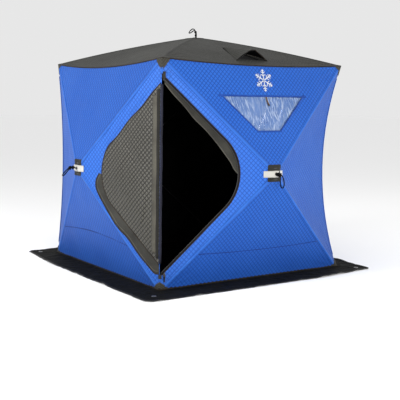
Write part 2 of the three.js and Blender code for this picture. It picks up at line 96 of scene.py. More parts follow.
class Shader:
    """A node material built up from a few plain steps."""

    def __init__(self, name, roughness, metallic=0.0, sheen=0.0, specular=0.5):
        self.material = bpy.data.materials.new(name)
        self.material.use_nodes = True
        self.tree = self.material.node_tree
        self.out = self.tree.nodes["Principled BSDF"].inputs
        self.out["Roughness"].default_value = roughness
        self.out["Metallic"].default_value = metallic
        self.out["Sheen Weight"].default_value = sheen
        self.out["Specular IOR Level"].default_value = specular

    def feed(self, socket, value):
        if isinstance(value, bpy.types.NodeSocket):
            self.tree.links.new(value, socket)
        else:
            socket.default_value = value

    def node(self, kind, inputs, **settings):
        """A new node's outputs. Its inputs are fed by their names or places."""
        node = self.tree.nodes.new("ShaderNode" + kind)
        for name, value in settings.items():
            setattr(node, name, value)
        for name, value in inputs.items():
            self.feed(node.inputs[name], value)
        return node.outputs

    def math(self, operation, *values):
        return self.node("Math", dict(enumerate(values)), operation=operation)[0]

    def plus(self, first, second):
        return self.math("ADD", first, second)

    def minus(self, first, second):
        return self.math("SUBTRACT", first, second)

    def times(self, first, second):
        return self.math("MULTIPLY", first, second)

    def mix(self, share, *colors):
        first, second = (c if isinstance(c, bpy.types.NodeSocket) else (*c, 1.0) for c in colors)
        return self.node("Mix", {0: share, 6: first, 7: second}, data_type="RGBA")[2]

    def tint(self, tone, color, where, share):
        """The tone with a share of the colour mixed in, as far as the mask says."""
        return self.mix(self.times(where, share), tone, color)

    def place(self):
        return self.node("TexCoord", {})["Object"]

    def axes(self, vector):
        return self.node("SeparateXYZ", {0: vector})

    def cloth(self):
        """The two lengths along the cloth, in metres."""
        return self.axes(self.node("UVMap", {}, uv_map="Cloth")["UV"])[:2]

    def noise(self, scale, detail=3.0, vector=None):
        inputs = {"Scale": scale, "Detail": detail, "Vector": vector or self.place()}
        return self.node("TexNoise", inputs)["Fac"]

    def ramp(self, value, low, high):
        inputs = {"Value": value, "From Min": low, "From Max": high}
        return self.node("MapRange", inputs, interpolation_type="SMOOTHSTEP")["Result"]

    def near(self, distance, reach):
        """One at no distance, falling off to nothing at the reach."""
        return self.minus(1.0, self.ramp(distance, 0.0, reach))

    def to_seam(self, length, pitch):
        """Distance to the nearest of the lines that lie a pitch apart."""
        share = self.math("FRACT", self.math("DIVIDE", length, pitch))
        return self.times(self.math("PINGPONG", share, 0.5), pitch)

    def weave(self, u, v, thread):
        warp, weft = (self.math("SINE", self.times(w, 2 * math.pi / thread)) for w in (u, v))
        return self.times(warp, weft)

    def varied(self, base, grain, span):
        """A value that a grain lifts above its base by up to the span."""
        return self.plus(base, self.times(grain, span))

    def finish(self, color, height=None, roughness=None):
        self.feed(self.out["Base Color"], color)
        if height is not None:
            self.feed(self.out["Roughness"], roughness)
            self.feed(self.out["Normal"], self.node("Bump", {"Distance": 1.0, "Height": height})["Normal"])
        return self.material


def quilted(name, color, seam, worn, roughness=0.45, pitch=QUILT, groove=0.0007, specular=0.09, painted_low_shade=0.0,
            crumple=0.0009, seam_shade=0.72):
    """Coated cloth stitched in squares: sunk seams with their thread and painted shade along them, a fine
    weave, and soft painted shade towards the ground.
    """
    color, seam, worn = shown(color), shown(seam), shown(worn)
    look = Shader(name, roughness, sheen=0.03, specular=specular)
    u, v = look.cloth()
    to_stitch = look.math("MINIMUM", look.to_seam(u, pitch), look.to_seam(v, pitch))
    sunk = look.near(to_stitch, 0.0062)
    dash = look.math("GREATER_THAN", look.to_seam(look.plus(u, v), 0.0052), 0.0009)
    thread = look.times(look.math("LESS_THAN", to_stitch, 0.0006), dash)
    tone = look.tint(color, worn, look.ramp(look.noise(2.3, 4.0), 0.3, 0.75), 0.55)
    # painted shade: the sunk seams are darkened with the seam colour
    tone = look.tint(tone, seam, sunk, seam_shade)
    tone = look.tint(tone, tuple(0.6 * c for c in seam), thread, 0.55)
    tone = look.tint(tone, seam, look.ramp(look.noise(190.0, 2.0), 0.35, 0.8), 0.10)
    # painted shade: the cloth darkens towards the ground, mottled by noise
    if painted_low_shade:
        mottled = look.varied(0.45, look.ramp(look.noise(3.0, 5.0), 0.2, 0.8), 0.55)
        tone = look.tint(tone, seam, look.times(look.near(look.axes(look.place())[2], 0.85), mottled), painted_low_shade)
    relief = look.minus(look.times(look.weave(u, v, 0.0016), 0.00006), look.times(sunk, groove))
    relief = look.varied(relief, look.noise(34.0), crumple)
    return look.finish(tone, relief, look.varied(roughness - 0.06, look.noise(14.0), 0.14))


def woven(name, color, dark, roughness=0.7, thread=0.0016, rows=(), light=None, sheen=0.03, fold=0.0015,
          line=0.0016):
    """Plain heavy cloth or webbing, with lines of stitching at the given distances from its middle."""
    color, dark, light = shown(color), shown(dark), shown(light or dark)
    look = Shader(name, roughness, sheen=sheen, specular=0.10)
    u, v = look.cloth()
    weave = look.weave(u, v, thread)
    tone = look.mix(look.ramp(look.noise(7.0, 5.0), 0.25, 0.75), color, dark)
    tone = look.tint(tone, dark, look.ramp(weave, -0.2, 1.0), 0.3)
    relief = look.varied(look.times(weave, 0.00012), look.noise(22.0, 4.0), fold)
    for row in rows:
        stitch = look.near(look.math("ABSOLUTE", look.minus(look.math("ABSOLUTE", v), row)), line)
        dash = look.math("GREATER_THAN", look.to_seam(u, 0.0060), 0.0010)
        tone = look.tint(tone, light, look.times(stitch, dash), 0.9)
        relief = look.minus(relief, look.times(stitch, 0.0008))
    return look.finish(tone, relief, look.varied(roughness - 0.08, look.noise(40.0), 0.16))


def hard(name, color, dark, roughness, metallic=0.0, grain=260.0, depth=0.00008):
    """Moulded, pultruded or pressed material with a fine grain and rubbed patches."""
    color, dark = shown(color), shown(dark)
    look = Shader(name, roughness, metallic=metallic)
    grained = look.noise(grain)
    tone = look.tint(color, dark, grained, 0.8)
    rubbed = tuple(min(1.0, 1.5 * c + 0.02) for c in color)
    tone = look.tint(tone, rubbed, look.ramp(look.noise(18.0, 4.0), 0.45, 0.75), 0.25)
    return look.finish(tone, look.times(grained, depth), look.varied(roughness - 0.08, grained, 0.18))


def window_film():
    """Clear vinyl: whitish painted highlights along its creases, smooth and glossy between them, on a pale
    blue tone that is partly painted reflection.
    """
    look = Shader("window_film", 0.16, specular=0.6)
    u, v = look.cloth()
    creased = []
    for slant in (0.55, -0.35):
        across, along = look.plus(look.times(u, 2.4), look.times(v, slant)), look.times(v, 0.36)
        creased.append(look.noise(34.0, 2.5, look.node("CombineXYZ", {0: across, 1: along, 2: slant})[0]))
    fine = look.ramp(look.math("MAXIMUM", *creased), 0.50, 0.66)
    streak_highlight = look.times(fine, look.varied(0.40, look.ramp(look.noise(8.0), 0.4, 0.6), 0.60))
    # pale blue tone: partly the film's own tint, partly painted reflection of the studio
    tone = look.tint(shown((98, 136, 200)), shown((124, 158, 216)), look.ramp(look.noise(5.0), 0.3, 0.8), 0.8)
    # painted highlights: whitish streaks along the creases
    tone = look.tint(tone, shown((206, 222, 244)), streak_highlight, 0.62)
    relief = look.plus(look.times(look.plus(*creased), 0.004), look.times(look.weave(u, v, 0.03), 0.0001))
    look.out["Alpha"].default_value = 0.72
    look.out["Coat Weight"].default_value = 0.5
    return look.finish(tone, relief, look.varied(0.12, streak_highlight, 0.25))


def plain(name, color, roughness, specular):
    return Shader(name, roughness, specular=specular).finish((*color, 1.0))


# the seam colours are also the colours of the painted shade in the seams and towards the ground
BLUE, BLUE_SEAM, BLUE_WORN = (42, 104, 206), (20, 62, 146), (52, 116, 218)
OLIVE, OLIVE_SEAM = (62, 62, 57), (36, 36, 33)
RIDGE = {"rows": (0.0130,), "fold": 0.0006, "line": 0.0042}  # twin stitching along a pole's sleeve
MIDDLE = (0.0,)  # one line of stitching

mat = {
    # the shell quilts darken towards the ground with painted shade
    "shell": quilted("shell_quilt", BLUE, BLUE_SEAM, BLUE_WORN, painted_low_shade=0.45),
    # a lighter copy of the shell quilt for the two door-side facets: painted light where the key light falls
    "shell_painted_light": quilted("shell_quilt_door_side", (52, 116, 222), (26, 72, 160), (64, 128, 232), painted_low_shade=0.2),
    "shell_plain": woven("shell_hem", BLUE_WORN, BLUE, 0.5, light=(10, 36, 100), **RIDGE),
    "seam": woven("shell_seam", BLUE_SEAM, (12, 44, 116), 0.5, fold=0.0006),
    "roof": quilted("roof_quilt", OLIVE, OLIVE_SEAM, (76, 76, 70), roughness=0.6),
    "roof_plain": woven("roof_hem", OLIVE, OLIVE_SEAM, 0.6, light=(26, 25, 22), **RIDGE),
    "lining": quilted("lining_quilt", (80, 78, 70), (8, 7, 6), (95, 93, 84), 0.38, groove=0.0022,
                      specular=0.22, crumple=0.0003, seam_shade=1.0),
    # plain lining cloth made lighter than the quilt: painted light on the side of the corner's roll that
    # faces the light
    "lining_plain": woven("lining_plain", (98, 96, 86), (70, 67, 60), 0.5, fold=0.004),
    # the inner lining: the grey lining fabric painted near black, painted shade of the dark interior
    "inside": woven("inside_lining", (16, 15, 18), (6, 6, 8), 0.85, sheen=0.0),
    # a dark strip of the lining: painted shade where the leaf's fold turns away from the light
    "fold": woven("folded_lining", (38, 37, 33), (22, 21, 19), 0.6, fold=0.003),
    "flap": woven("flap_cloth", (66, 65, 59), (44, 43, 39), 0.55, fold=0.003),
    # a light hem colour, also used for the painted highlight along the storm band's fold
    "hem_light": woven("storm_flap_hem", (104, 102, 93), (66, 64, 58), 0.55, fold=0.0006),
    "edge": woven("corner_binding", (46, 48, 66), (26, 26, 36), 0.5, fold=0.0006),
    "skirt": woven("skirt_cloth", (18, 19, 20), (5, 6, 6), 0.80, thread=0.0024, sheen=0.0, fold=0.012),
    "skirt_hem": woven("skirt_hem", (16, 16, 17), (8, 8, 8), 0.6, rows=(0.006,), light=(60, 50, 38)),
    "cap": quilted("cap_cloth", (74, 72, 64), (30, 29, 25), (84, 82, 73), 0.55, pitch=0.02, groove=0.001),
    "webbing": woven("webbing", (62, 62, 56), (36, 36, 33), 0.7, 0.0032, rows=(0.050,), light=(24, 24, 22)),
    # the lighter middle row is stitching in a gold colour, partly painted glint
    "binding": woven("binding", (24, 20, 18), (10, 8, 8), 0.6, rows=MIDDLE, light=(104, 80, 50)),
    "eaves": woven("eaves_binding", (46, 36, 30), (24, 19, 17), 0.6, rows=MIDDLE, light=(84, 62, 40)),
    "zip_tape": woven("zip_tape", (26, 26, 27), (10, 10, 11), 0.6, thread=0.003),
    "tape": woven("reflective_tape", (232, 230, 222), (206, 204, 196), 0.4, thread=0.0011, rows=(0.0205,),
                  light=(150, 148, 142), fold=0.0008),
    "cord": woven("braided_cord", (8, 8, 9), (3, 3, 3), 0.8, thread=0.0021, sheen=0.0, fold=0.0002),
    "strap": woven("strap", (120, 92, 58), (86, 64, 38), 0.7),
    "prop": woven("prop_webbing", (60, 56, 48), (36, 33, 28), 0.6, rows=MIDDLE, light=(200, 194, 180)),
    "mesh": woven("vent_mesh", (16, 16, 16), (5, 5, 5), 0.8, thread=0.0030),
    "film": window_film(),
    "window_hem": woven("window_hem", (36, 88, 186), (22, 62, 150), 0.5, rows=(0.0050,), light=(20, 22, 34),
                        fold=0.0004),
    "print": woven("white_print", (238, 240, 244), (214, 218, 228), 0.5, 0.0020, sheen=0.0, fold=0.0004),
    "pole": hard("pultruded_fibreglass", (34, 35, 38), (16, 16, 18), 0.35, grain=90.0, depth=0.00004),
    "hub": hard("glass_filled_nylon", (40, 42, 44), (20, 21, 22), 0.5),
    "moulding": hard("moulded_black", (14, 14, 15), (6, 6, 6), 0.45),
    "eyelet": hard("pressed_nickel", (176, 176, 176), (120, 120, 122), 0.32, metallic=1.0, depth=0.00003),
    "floor": plain("stage_floor", (0.93, 0.93, 0.93), 0.9, 0.1),
    "shade": plain("stage_shade", (0.006, 0.005, 0.008), 0.95, 0.0),
}


# ---- meshes ----
def attach(obj, holder, node=None):
    """The holder is the panel whose cloth the piece lies on, or else the body it is parented to."""
    if isinstance(holder, Panel):
        cling(obj, holder)
    else:
        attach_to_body(obj, holder)
    if node:
        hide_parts(node)
    return obj


def piece(name, vertices, faces, material, cloth=None, corners=None, smooth=True, merge=0.0,
          on=None, node=None):
    """A mesh piece. cloth is every vertex's place in the flat cloth, in metres, and corners the same for
    every corner of every face. on is what holds the piece, and node the CAD piece it takes the place of."""
    mesh = bpy.data.meshes.new(name)
    mesh.from_pydata([tuple(map(float, v)) for v in vertices], [], [list(map(int, f)) for f in faces])
    if cloth is not None:
        corners = np.asarray(cloth)[np.concatenate([list(map(int, f)) for f in faces])]
    if corners is not None:
        layer = mesh.uv_layers.new(name="Cloth")
        layer.data.foreach_set("uv", np.asarray(corners, np.float32).ravel())
    if merge:
        work = bmesh.new()
        work.from_mesh(mesh)
        bmesh.ops.remove_doubles(work, verts=work.verts, dist=merge)
        work.to_mesh(mesh)
        work.free()
    mesh.polygons.foreach_set("use_smooth", [smooth] * len(mesh.polygons))
    mesh.materials.append(mat[material])
    obj = bpy.data.objects.new(name, mesh)
    bpy.context.scene.collection.objects.link(obj)
    return attach(obj, on, node) if on else obj


def unit(v):
    v = np.asarray(v, float)
    return v / np.maximum(np.linalg.norm(v, axis=-1, keepdims=True), 1e-12)


def cross(a, b):
    """The cross product of vectors in a plane."""
    return a[:, 0] * b[:, 1] - a[:, 1] * b[:, 0]


def solid(points, third=0.0):
    """Plane points with a third coordinate."""
    return np.column_stack([points, np.broadcast_to(third, len(points))])


def turns(count):
    return np.linspace(0, 2 * math.pi, count, endpoint=False)


def ring_points(radius, count):
    turn = turns(count)
    return radius * np.stack([np.cos(turn), np.sin(turn)], 1)


def circle(radius, sides=10, flat=1.0):
    return ring_points(radius, sides) * (1.0, flat)


def band(half, thick, round_off=0.3):
    """The section of a strap or tape: a flat strip with softened edges, standing on its own base."""
    edge = thick * round_off
    left = [(edge - half, 0), (-half, edge), (-half, thick - edge), (edge - half, thick)]
    right = [(-x, y) for x, y in left[::-1]]
    return np.array([*left[1:], (0, thick * 1.05), *right, left[0]])


def sweep(name, path, section, material, slot, normals=None, closed=False, widths=None, on=None, node=None):
    """A section carried along a path. The section's y points along the normals, if they are given."""
    path = np.asarray(path, float)
    count, sides = len(path), len(section)
    ends = (np.roll(path, -1, 0) - np.roll(path, 1, 0)) if closed else np.gradient(path, axis=0)
    tangents = unit(ends)
    if normals is None:
        normals = np.zeros_like(path)
        side = np.cross(tangents[0], (0.31, 0.22, 0.92))
        normals[0] = unit(np.cross(side, tangents[0]))
        for i in range(1, count):
            last = normals[i - 1]
            normals[i] = unit(last - tangents[i] * np.dot(last, tangents[i]))
    else:
        normals = np.broadcast_to(np.asarray(normals, float), path.shape)
        normals = unit(normals - tangents * np.sum(normals * tangents, 1, keepdims=True))
    across = np.cross(tangents, normals)
    scaled = section[None] * (np.ones(count) if widths is None else widths)[:, None, None]
    vertices = path[:, None] + across[:, None] * scaled[:, :, :1] + normals[:, None] * scaled[:, :, 1:]
    steps = np.diff(np.vstack([path, path[:1]]) if closed else path, axis=0)
    along = np.concatenate([[0], np.cumsum(np.linalg.norm(steps, axis=1))])
    wide = section[:, 0]
    faces, corners = [], []
    for i, (start, end) in enumerate(zip(along, along[1:])):
        row, beyond = i * sides, (i + 1) % count * sides
        for k in range(sides):
            m = (k + 1) % sides
            faces.append((row + k, row + m, beyond + m, beyond + k))
            corners += [(start, wide[k]), (start, wide[m]), (end, wide[m]), (end, wide[k])]
    if not closed:
        for row, order in ((0, range(sides - 1, -1, -1)), (count - 1, range(sides))):
            faces.append([row * sides + k for k in order])
            corners += [(along[row], wide[k]) for k in order]
    obj = piece(name, vertices.reshape(-1, 3), faces, material, corners=corners, on=on, node=node)
    if np.cross(section[1] - section[0], section[2] - section[1]) > 0:
        obj.data.flip_normals()
    return obj


def shell_sweep(name, path, section, material, slot, out, **more):
    sweep(name, path, section, material, slot, normals=out, on="shell", **more)


def smooth_route(points, steps=6):
    """A centripetal Catmull-Rom curve through the points, as the CAD's cords follow."""
    p = np.asarray(points, float)
    p = np.vstack([2 * p[0] - p[1], p, 2 * p[-1] - p[-2]])
    route = []
    for i in range(1, len(p) - 2):
        a, b, c = (math.sqrt(max(np.linalg.norm(p[i + k] - p[i + k - 1]), 1e-9)) for k in (0, 1, 2))
        start = ((p[i] - p[i - 1]) / a - (p[i + 1] - p[i - 1]) / (a + b) + (p[i + 1] - p[i]) / b) * b
        stop = ((p[i + 1] - p[i]) / b - (p[i + 2] - p[i]) / (b + c) + (p[i + 2] - p[i + 1]) / c) * b
        for t in np.arange(steps) / steps:
            route.append((2 * t**3 - 3 * t**2 + 1) * p[i] + (t**3 - 2 * t**2 + t) * start
                         + (3 * t**2 - 2 * t**3) * p[i + 1] + (t**3 - t**2) * stop)
    return np.array([*route, p[-2]])


def resample(points, step, closed=False):
    """Points about a step apart along a polyline, keeping its own corners."""
    points = [np.asarray(p, float) for p in points]
    if closed:
        points.append(points[0])
    found = [points[0]]
    for a, b in zip(points, points[1:]):
        count = max(1, round(float(np.linalg.norm(b - a)) / step))
        found += [a + (b - a) * (i + 1) / count for i in range(count)]
    return np.array(found[:-1] if closed else found)


def inside(points, polygon):
    odd = np.zeros(len(points), bool)
    x, y = points[:, 0], points[:, 1]
    for (ax, ay), (bx, by) in zip(polygon, np.roll(polygon, -1, 0)):
        if ay != by:
            odd ^= ((ay > y) != (by > y)) & (x < (bx - ax) * (y - ay) / (by - ay) + ax)
    return odd


def along_line(points, start, end):
    """Each point's share of the way along a line, and its distance from the line."""
    way = end - start
    share = np.clip(((points - start) @ way) / max(way @ way, 1e-12), 0, 1)
    return share, np.linalg.norm(points - start - share[:, None] * way, axis=1)


def distance(points, polygon, closed=True):
    """Distance in the plane to a polygon's outline."""
    nearest = np.full(len(points), np.inf)
    for start, end in zip(polygon, np.roll(polygon, -1, 0) if closed else polygon[1:]):
        nearest = np.minimum(nearest, along_line(points, start, end)[1])
    return nearest


def fill(outline, spacing, holes=()):
    """Triangles over a plane outline, on a square lattice."""
    rings = [outline, *holes]

    def in_cloth(points):
        keep = inside(points, outline)
        for hole in holes:
            keep &= ~inside(points, hole)
        return keep

    low, high = outline.min(0) // spacing, outline.max(0) // spacing + 1
    grid = np.stack(np.meshgrid(*(np.arange(a, b + 1) for a, b in zip(low, high))), -1)
    lattice = grid.reshape(-1, 2) * spacing
    lattice = lattice[in_cloth(lattice)]
    for ring in rings:
        lattice = lattice[distance(lattice, ring) > 0.42 * spacing]
    edges = []
    for ring in rings:
        first, count = len(edges), len(ring)
        edges += [(first + i, first + (i + 1) % count) for i in range(count)]
    skew = np.array([[1.0, 1e-4], [1e-4, 1.0]])  # settles which diagonal splits a square
    points = np.vstack([*rings, lattice]) @ skew
    found, _, faces, *_ = delaunay_2d_cdt([Vector(p) for p in points], edges, [], 0, 1e-7)
    found = np.array([tuple(p) for p in found]) @ np.linalg.inv(skew)
    faces = np.array(faces)
    faces = faces[in_cloth(found[faces].mean(1))]
    used, index = np.unique(faces, return_inverse=True)
    found, faces = found[used], index.reshape(-1, 3)
    a, b, c = (found[faces[:, k]] for k in range(3))
    backwards = cross(b - a, c - a) < 0
    faces[backwards] = faces[backwards][:, ::-1]
    return found, faces


def grid_faces(rows, columns, first=0):
    """Quads over a grid of points that lie row by row."""
    return [(a, a + 1, a + columns + 1, a + columns)
            for j in range(rows - 1) for a in range(first + j * columns, first + (j + 1) * columns - 1)]


def smoothstep(t):
    t = np.clip(t, 0, 1)
    return t * t * (3 - 2 * t)


def rumple(points, size, seed):
    """Smooth noise from -1 to 1 with features about the given size."""
    shift = Vector((seed * 7.3, seed * 3.1, seed * 5.7))
    return np.array([noise.noise(Vector(p) / size + shift) for p in points])


# ---- panels ----
def sag(depth, share):
    return 4 * depth * share * (1 - share)


def turned(points, quarter):
    x, y, z = np.asarray(points, float).T
    for _ in range(quarter % 4):
        x, y = -y, x
    return np.stack([x, y, z], 1)


def facing(x, y, z, quarter):
    """A direction on the front side, turned to one of the four sides."""
    return turned([(x, y, z)], quarter)[0]


EDGE_SHARE = np.linspace(0, 1, EDGE_STEPS + 1)


def corner_seam(side, depth):
    out = HALF - sag(depth, EDGE_SHARE) / math.sqrt(2)
    return np.stack([side * out, -out, EAVES * EDGE_SHARE], 1)


def eaves_seam(depth):
    down = sag(depth, EDGE_SHARE)
    slope = HUB_OUT / (EAVES - HUB_HEIGHT)
    return np.stack([HALF * (1 - 2 * EDGE_SHARE), -HALF - slope * down, EAVES - down], 1)


def shares(points, p, q):
    """How much of p and of q adds up to each point in their plane."""
    area = cross(p, q)
    return cross(points, q) / area, cross(p, points) / area


class Panel:
    """A five-point panel: wedges from the hub point to the edge. Its sides run from corner to corner,
    anticlockwise seen from outside, and every side can be unrolled flat from the hub point."""

    def __init__(self, name, apex, inward, across, up, sides, bow=0.0):
        self.name, self.bow = name, bow
        self.apex, self.inward = np.asarray(apex, float), np.asarray(inward, float)
        self.across, self.up = np.asarray(across, float), np.asarray(up, float)
        self.out = -self.inward
        self.rays = [side - self.apex for side in sides]
        self.charts = []
        for rays in self.rays:
            lengths = np.linalg.norm(rays, axis=1)
            steps = np.arccos(np.clip(np.sum(unit(rays[:-1]) * unit(rays[1:]), 1), -1, 1))
            angles = np.concatenate([[0], np.cumsum(steps)])
            self.charts.append((angles, lengths[:, None] * np.stack([np.cos(angles), np.sin(angles)], 1)))
        ring = np.concatenate([rays[:-1] for rays in self.rays])
        plane = np.stack([ring @ self.across, ring @ self.up], 1)
        angles = np.arctan2(plane[:, 1], plane[:, 0])
        self.first, self.count = int(np.argmin(angles)), len(ring)
        self.ring, self.ring_plane = np.roll(ring, -self.first, 0), np.roll(plane, -self.first, 0)
        self.ring_angles = np.roll(angles, -self.first)

    def wedges(self, plane):
        """For points in the panel's plane: the wedge that each is in, and its share of both rays."""
        angle = np.arctan2(plane[:, 1], plane[:, 0])
        k = (np.searchsorted(self.ring_angles, angle, side="right") - 1) % self.count
        return k, *shares(plane, self.ring_plane[k], self.ring_plane[(k + 1) % self.count])

    def flat(self, points):
        rays = np.asarray(points, float) - self.apex
        return np.stack([rays @ self.across, rays @ self.up], 1)

    def tip(self, share, reach):
        """Inward: the cloth's rounding over the hub. Outward: the bow of the poles."""
        rounding = 0.005 * np.exp(-((reach / 0.045) ** 2))
        return self.inward * (rounding - self.bow * sag(1, np.clip(share, 0, 1)))[:, None]

    def surface(self, plane, height=0.0):
        """The skin's points at the given places in the panel's plane, and a height above it."""
        plane = np.asarray(plane, float)
        k, a, b = self.wedges(plane)
        p, q = self.ring[k], self.ring[(k + 1) % self.count]
        points = self.apex + a[:, None] * p + b[:, None] * q
        points = points + self.tip(a + b, np.linalg.norm(plane, axis=1))
        return points + unit(np.cross(p, q)) * np.broadcast_to(height, len(plane))[:, None]

    def unroll(self, side, plane):
        """Places in a side's flat chart of places in the panel's plane that lie on that side."""
        k, a, b = self.wedges(self.flat(self.surface(plane)))
        k = np.clip((k + self.first) % self.count - side * EDGE_STEPS, 0, EDGE_STEPS - 1)
        chart = self.charts[side][1]
        return a[:, None] * chart[k] + b[:, None] * chart[k + 1]

    def roll_up(self, side, places, height):
        """Back from a side's flat chart to the skin, raised by height along its normal."""
        angles, chart = self.charts[side]
        rays = self.rays[side]
        angle = np.arctan2(places[:, 1], places[:, 0])
        k = np.clip(np.searchsorted(angles, angle, side="right") - 1, 0, EDGE_STEPS - 1)
        a, b = shares(places, chart[k], chart[k + 1])
        points = self.apex + a[:, None] * rays[k] + b[:, None] * rays[k + 1]
        points = points + self.tip(a + b, np.linalg.norm(self.flat(points), axis=1))
        normals = unit(np.cross(rays[:-1], rays[1:]))
        at_ray = unit(np.vstack([normals[:1], normals[:-1] + normals[1:], normals[-1:]]))
        t = np.clip((angle - angles[k]) / (angles[k + 1] - angles[k]), 0, 1)[:, None]
        normal = unit(at_ray[k] * (1 - t) + at_ray[k + 1] * t)
        return points + normal * np.broadcast_to(height, len(k))[:, None]

    def outline(self, side, step):
        chart = self.charts[side][1]
        back = resample([(0, 0), chart[-1]], step)[::-1][1:-1]
        return np.vstack([resample([(0, 0), chart[0]], step), resample(chart, step)[1:], back])


def cling(obj, panel):
    """Works out how far the piece would move with the panel's cloth: all the way with the hub at the hub
    point, not at all at the seams, and in proportion along every straight line between them. The mesh is left
    as it was."""
    mesh = obj.data
    mesh.update()
    places = np.empty(len(mesh.vertices) * 3)
    mesh.vertices.foreach_get("co", places)
    _, a, b = panel.wedges(panel.flat(places.reshape(-1, 3)))
    share = 1 - np.clip(a + b, 0, 1)
    eased = np.zeros_like(places)
    eased[::3] = 0.5 - np.sin(np.arcsin(1 - 2 * share) / 3)  # the inverse of a smoothstep easing
    mesh.vertices.foreach_set("co", eased)
    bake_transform(obj)
    mesh.vertices.foreach_set("co", places)
    mesh.update()
    return obj


WALL_APEX = np.array([0, -HALF - HUB_OUT, HUB_HEIGHT])


def make_wall(name, quarter):
    ground = np.linspace((-HALF, -HALF, 0), (HALF, -HALF, 0), EDGE_STEPS + 1)
    right = corner_seam(1, CORNER_SAG[(quarter + 1) % 4])
    left = corner_seam(-1, CORNER_SAG[quarter])[::-1]
    sides = [turned(side, quarter) for side in (ground, right, eaves_seam(EAVES_SAG[quarter]), left)]
    apex, inward, across = turned([WALL_APEX, (0, 1, 0), (1, 0, 0)], quarter)
    return Panel(name, apex, inward, across, (0, 0, 1), sides)


WALLS = {name: make_wall(name, quarter) for quarter, name in enumerate(("front", "right", "back", "left"))}
ROOF = Panel("roof", (0, 0, PEAK), (0, 0, -1), (1, 0, 0), (0, 1, 0),
             [turned(eaves_seam(EAVES_SAG[q])[::-1], q) for q in range(4)], bow=ROOF_BOW)
PANELS = {**WALLS, "roof": ROOF}
BOTTOM, RIGHT, TOP, LEFT = range(4)  # a wall's sides
FRONT_WALL, LEFT_WALL = WALLS["front"], WALLS["left"]


# ---- camera ----
def add_camera():
    """The photograph's own viewpoint."""
    yaw, pitch, roll = 0.5981, -0.0593, 0.0138
    data = bpy.data.cameras.new("camera")
    data.sensor_width = 36.0
    data.lens = 74.1069
    data.shift_x = 0.00325
    data.shift_y = -0.125
    camera = bpy.data.objects.new("camera", data)
    camera.matrix_world = (Matrix.Translation((-4.0907, -6.0785, 1.4234)) @ Matrix.Rotation(-yaw, 4, "Z")
                           @ Matrix.Rotation(math.pi / 2 + pitch, 4, "X") @ Matrix.Rotation(roll, 4, "Z"))
    bpy.context.scene.collection.objects.link(camera)
    bpy.context.scene.camera = camera


add_camera()

# ---- pull cords ----
# One loop of cord a hub, whose ends go back into the hub patch: across, up and out from the hub point.
CORD_START = -0.0022
HANGING = [
    (-.0034, 0, CORD_START), (-.0034, .0005, .014), (-.0034, .001, .032), (-.0036, 0, .048),
    (-.0055, -.012, .060), (-.0075, -.040, .065), (-.007, -.074, .068), (-.004, -.093, .069),
    (.003, -.102, .069), (.0105, -.095, .069), (.014, -.074, .068), (.0125, -.040, .065),
    (.0065, -.012, .060), (.0036, 0, .048), (.0034, .001, .032), (.0034, .0005, .014), (.0034, 0, CORD_START),
]
REACHING = [
    (-.0034, 0, CORD_START), (-.0034, .0003, .005), (-.0034, .004, .017), (-.0034, .008, .032),
    (-.0036, .009, .048), (-.0065, 0, .066), (-.010, -.022, .090), (-.0104, -.0435, .1093),
    (-.0092, -.0498, .1148), (-.0054, -.0548, .1191),
]
REACHING += [(0, -.0569, .1209)] + [(-x, y, z) for x, y, z in REACHING[::-1]]
STANDING = [
    (.004, .0034, CORD_START), (.004, .0034, .014), (.004, .0036, .030), (.003, .005, .050),
    (-.004, .007, .068), (-.020, .009, .074), (-.042, .010, .060), (-.058, .009, .042), (-.065, 0, .034),
    (-.058, -.009, .038), (-.042, -.010, .050), (-.022, -.009, .058), (-.006, -.0065, .052),
    (.002, -.0044, .040), (.004, -.0035, .028), (.004, -.0034, .014), (.004, -.0034, CORD_START),
]
# Two knots along the two strands: across, up, out, and the knot's size.
ON_HANGING = ((0, .001, .018, .0155), (0, -.002, .042, .0165))
ON_REACHING = ((0, .008, .031, .0155), (0, .006, .056, .0165))
ON_STANDING = ((.004, 0, .018, .0085), (.001, .001, .046, .0095))
CORDS = {"left": (REACHING, ON_REACHING), "roof": (STANDING, ON_STANDING)}


def from_hub(panel, points):
    x, y, z = np.asarray(points, float).T
    return panel.apex + x[:, None] * panel.across + y[:, None] * panel.up - z[:, None] * panel.inward


def add_knot(name, centre, size, panel):
    """An overhand knot: cord wound in a small trefoil."""
    turn = turns(60)
    knot = np.stack([np.sin(turn) + 2 * np.sin(2 * turn), np.cos(turn) - 2 * np.cos(2 * turn),
                     -1.5 * np.sin(3 * turn)], 1) * size / 3.4
    return sweep(name, from_hub(panel, knot + centre), circle(CORD_D / 2, 8), "cord", "cord", closed=True,
                 on=f"{panel.name}_hub")


def add_pull_cord(panel):
    route, knots = CORDS.get(panel.name, (HANGING, ON_HANGING))
    spread = (1.0, CORD_SPREAD, 1.0) if panel is ROOF else (CORD_SPREAD, 1.0, 1.0)
    path = smooth_route(from_hub(panel, np.array(route) * spread))
    cord = sweep(f"pull_cord_{panel.name}_braid", path, circle(CORD_D / 2), "cord", "cord",
                 on=f"{panel.name}_hub", node=f"pull_cord_{panel.name}")
    knots = [add_knot(f"cord_knot_{panel.name}_{i + 1}", np.array(place[:3]), place[3], panel)
             for i, place in enumerate(knots)]


for panel in PANELS.values():
    add_pull_cord(panel)

# ---- outlines of the door, the window and the vent ----
WALL_COS = HALF / math.hypot(HALF, HUB_OUT)


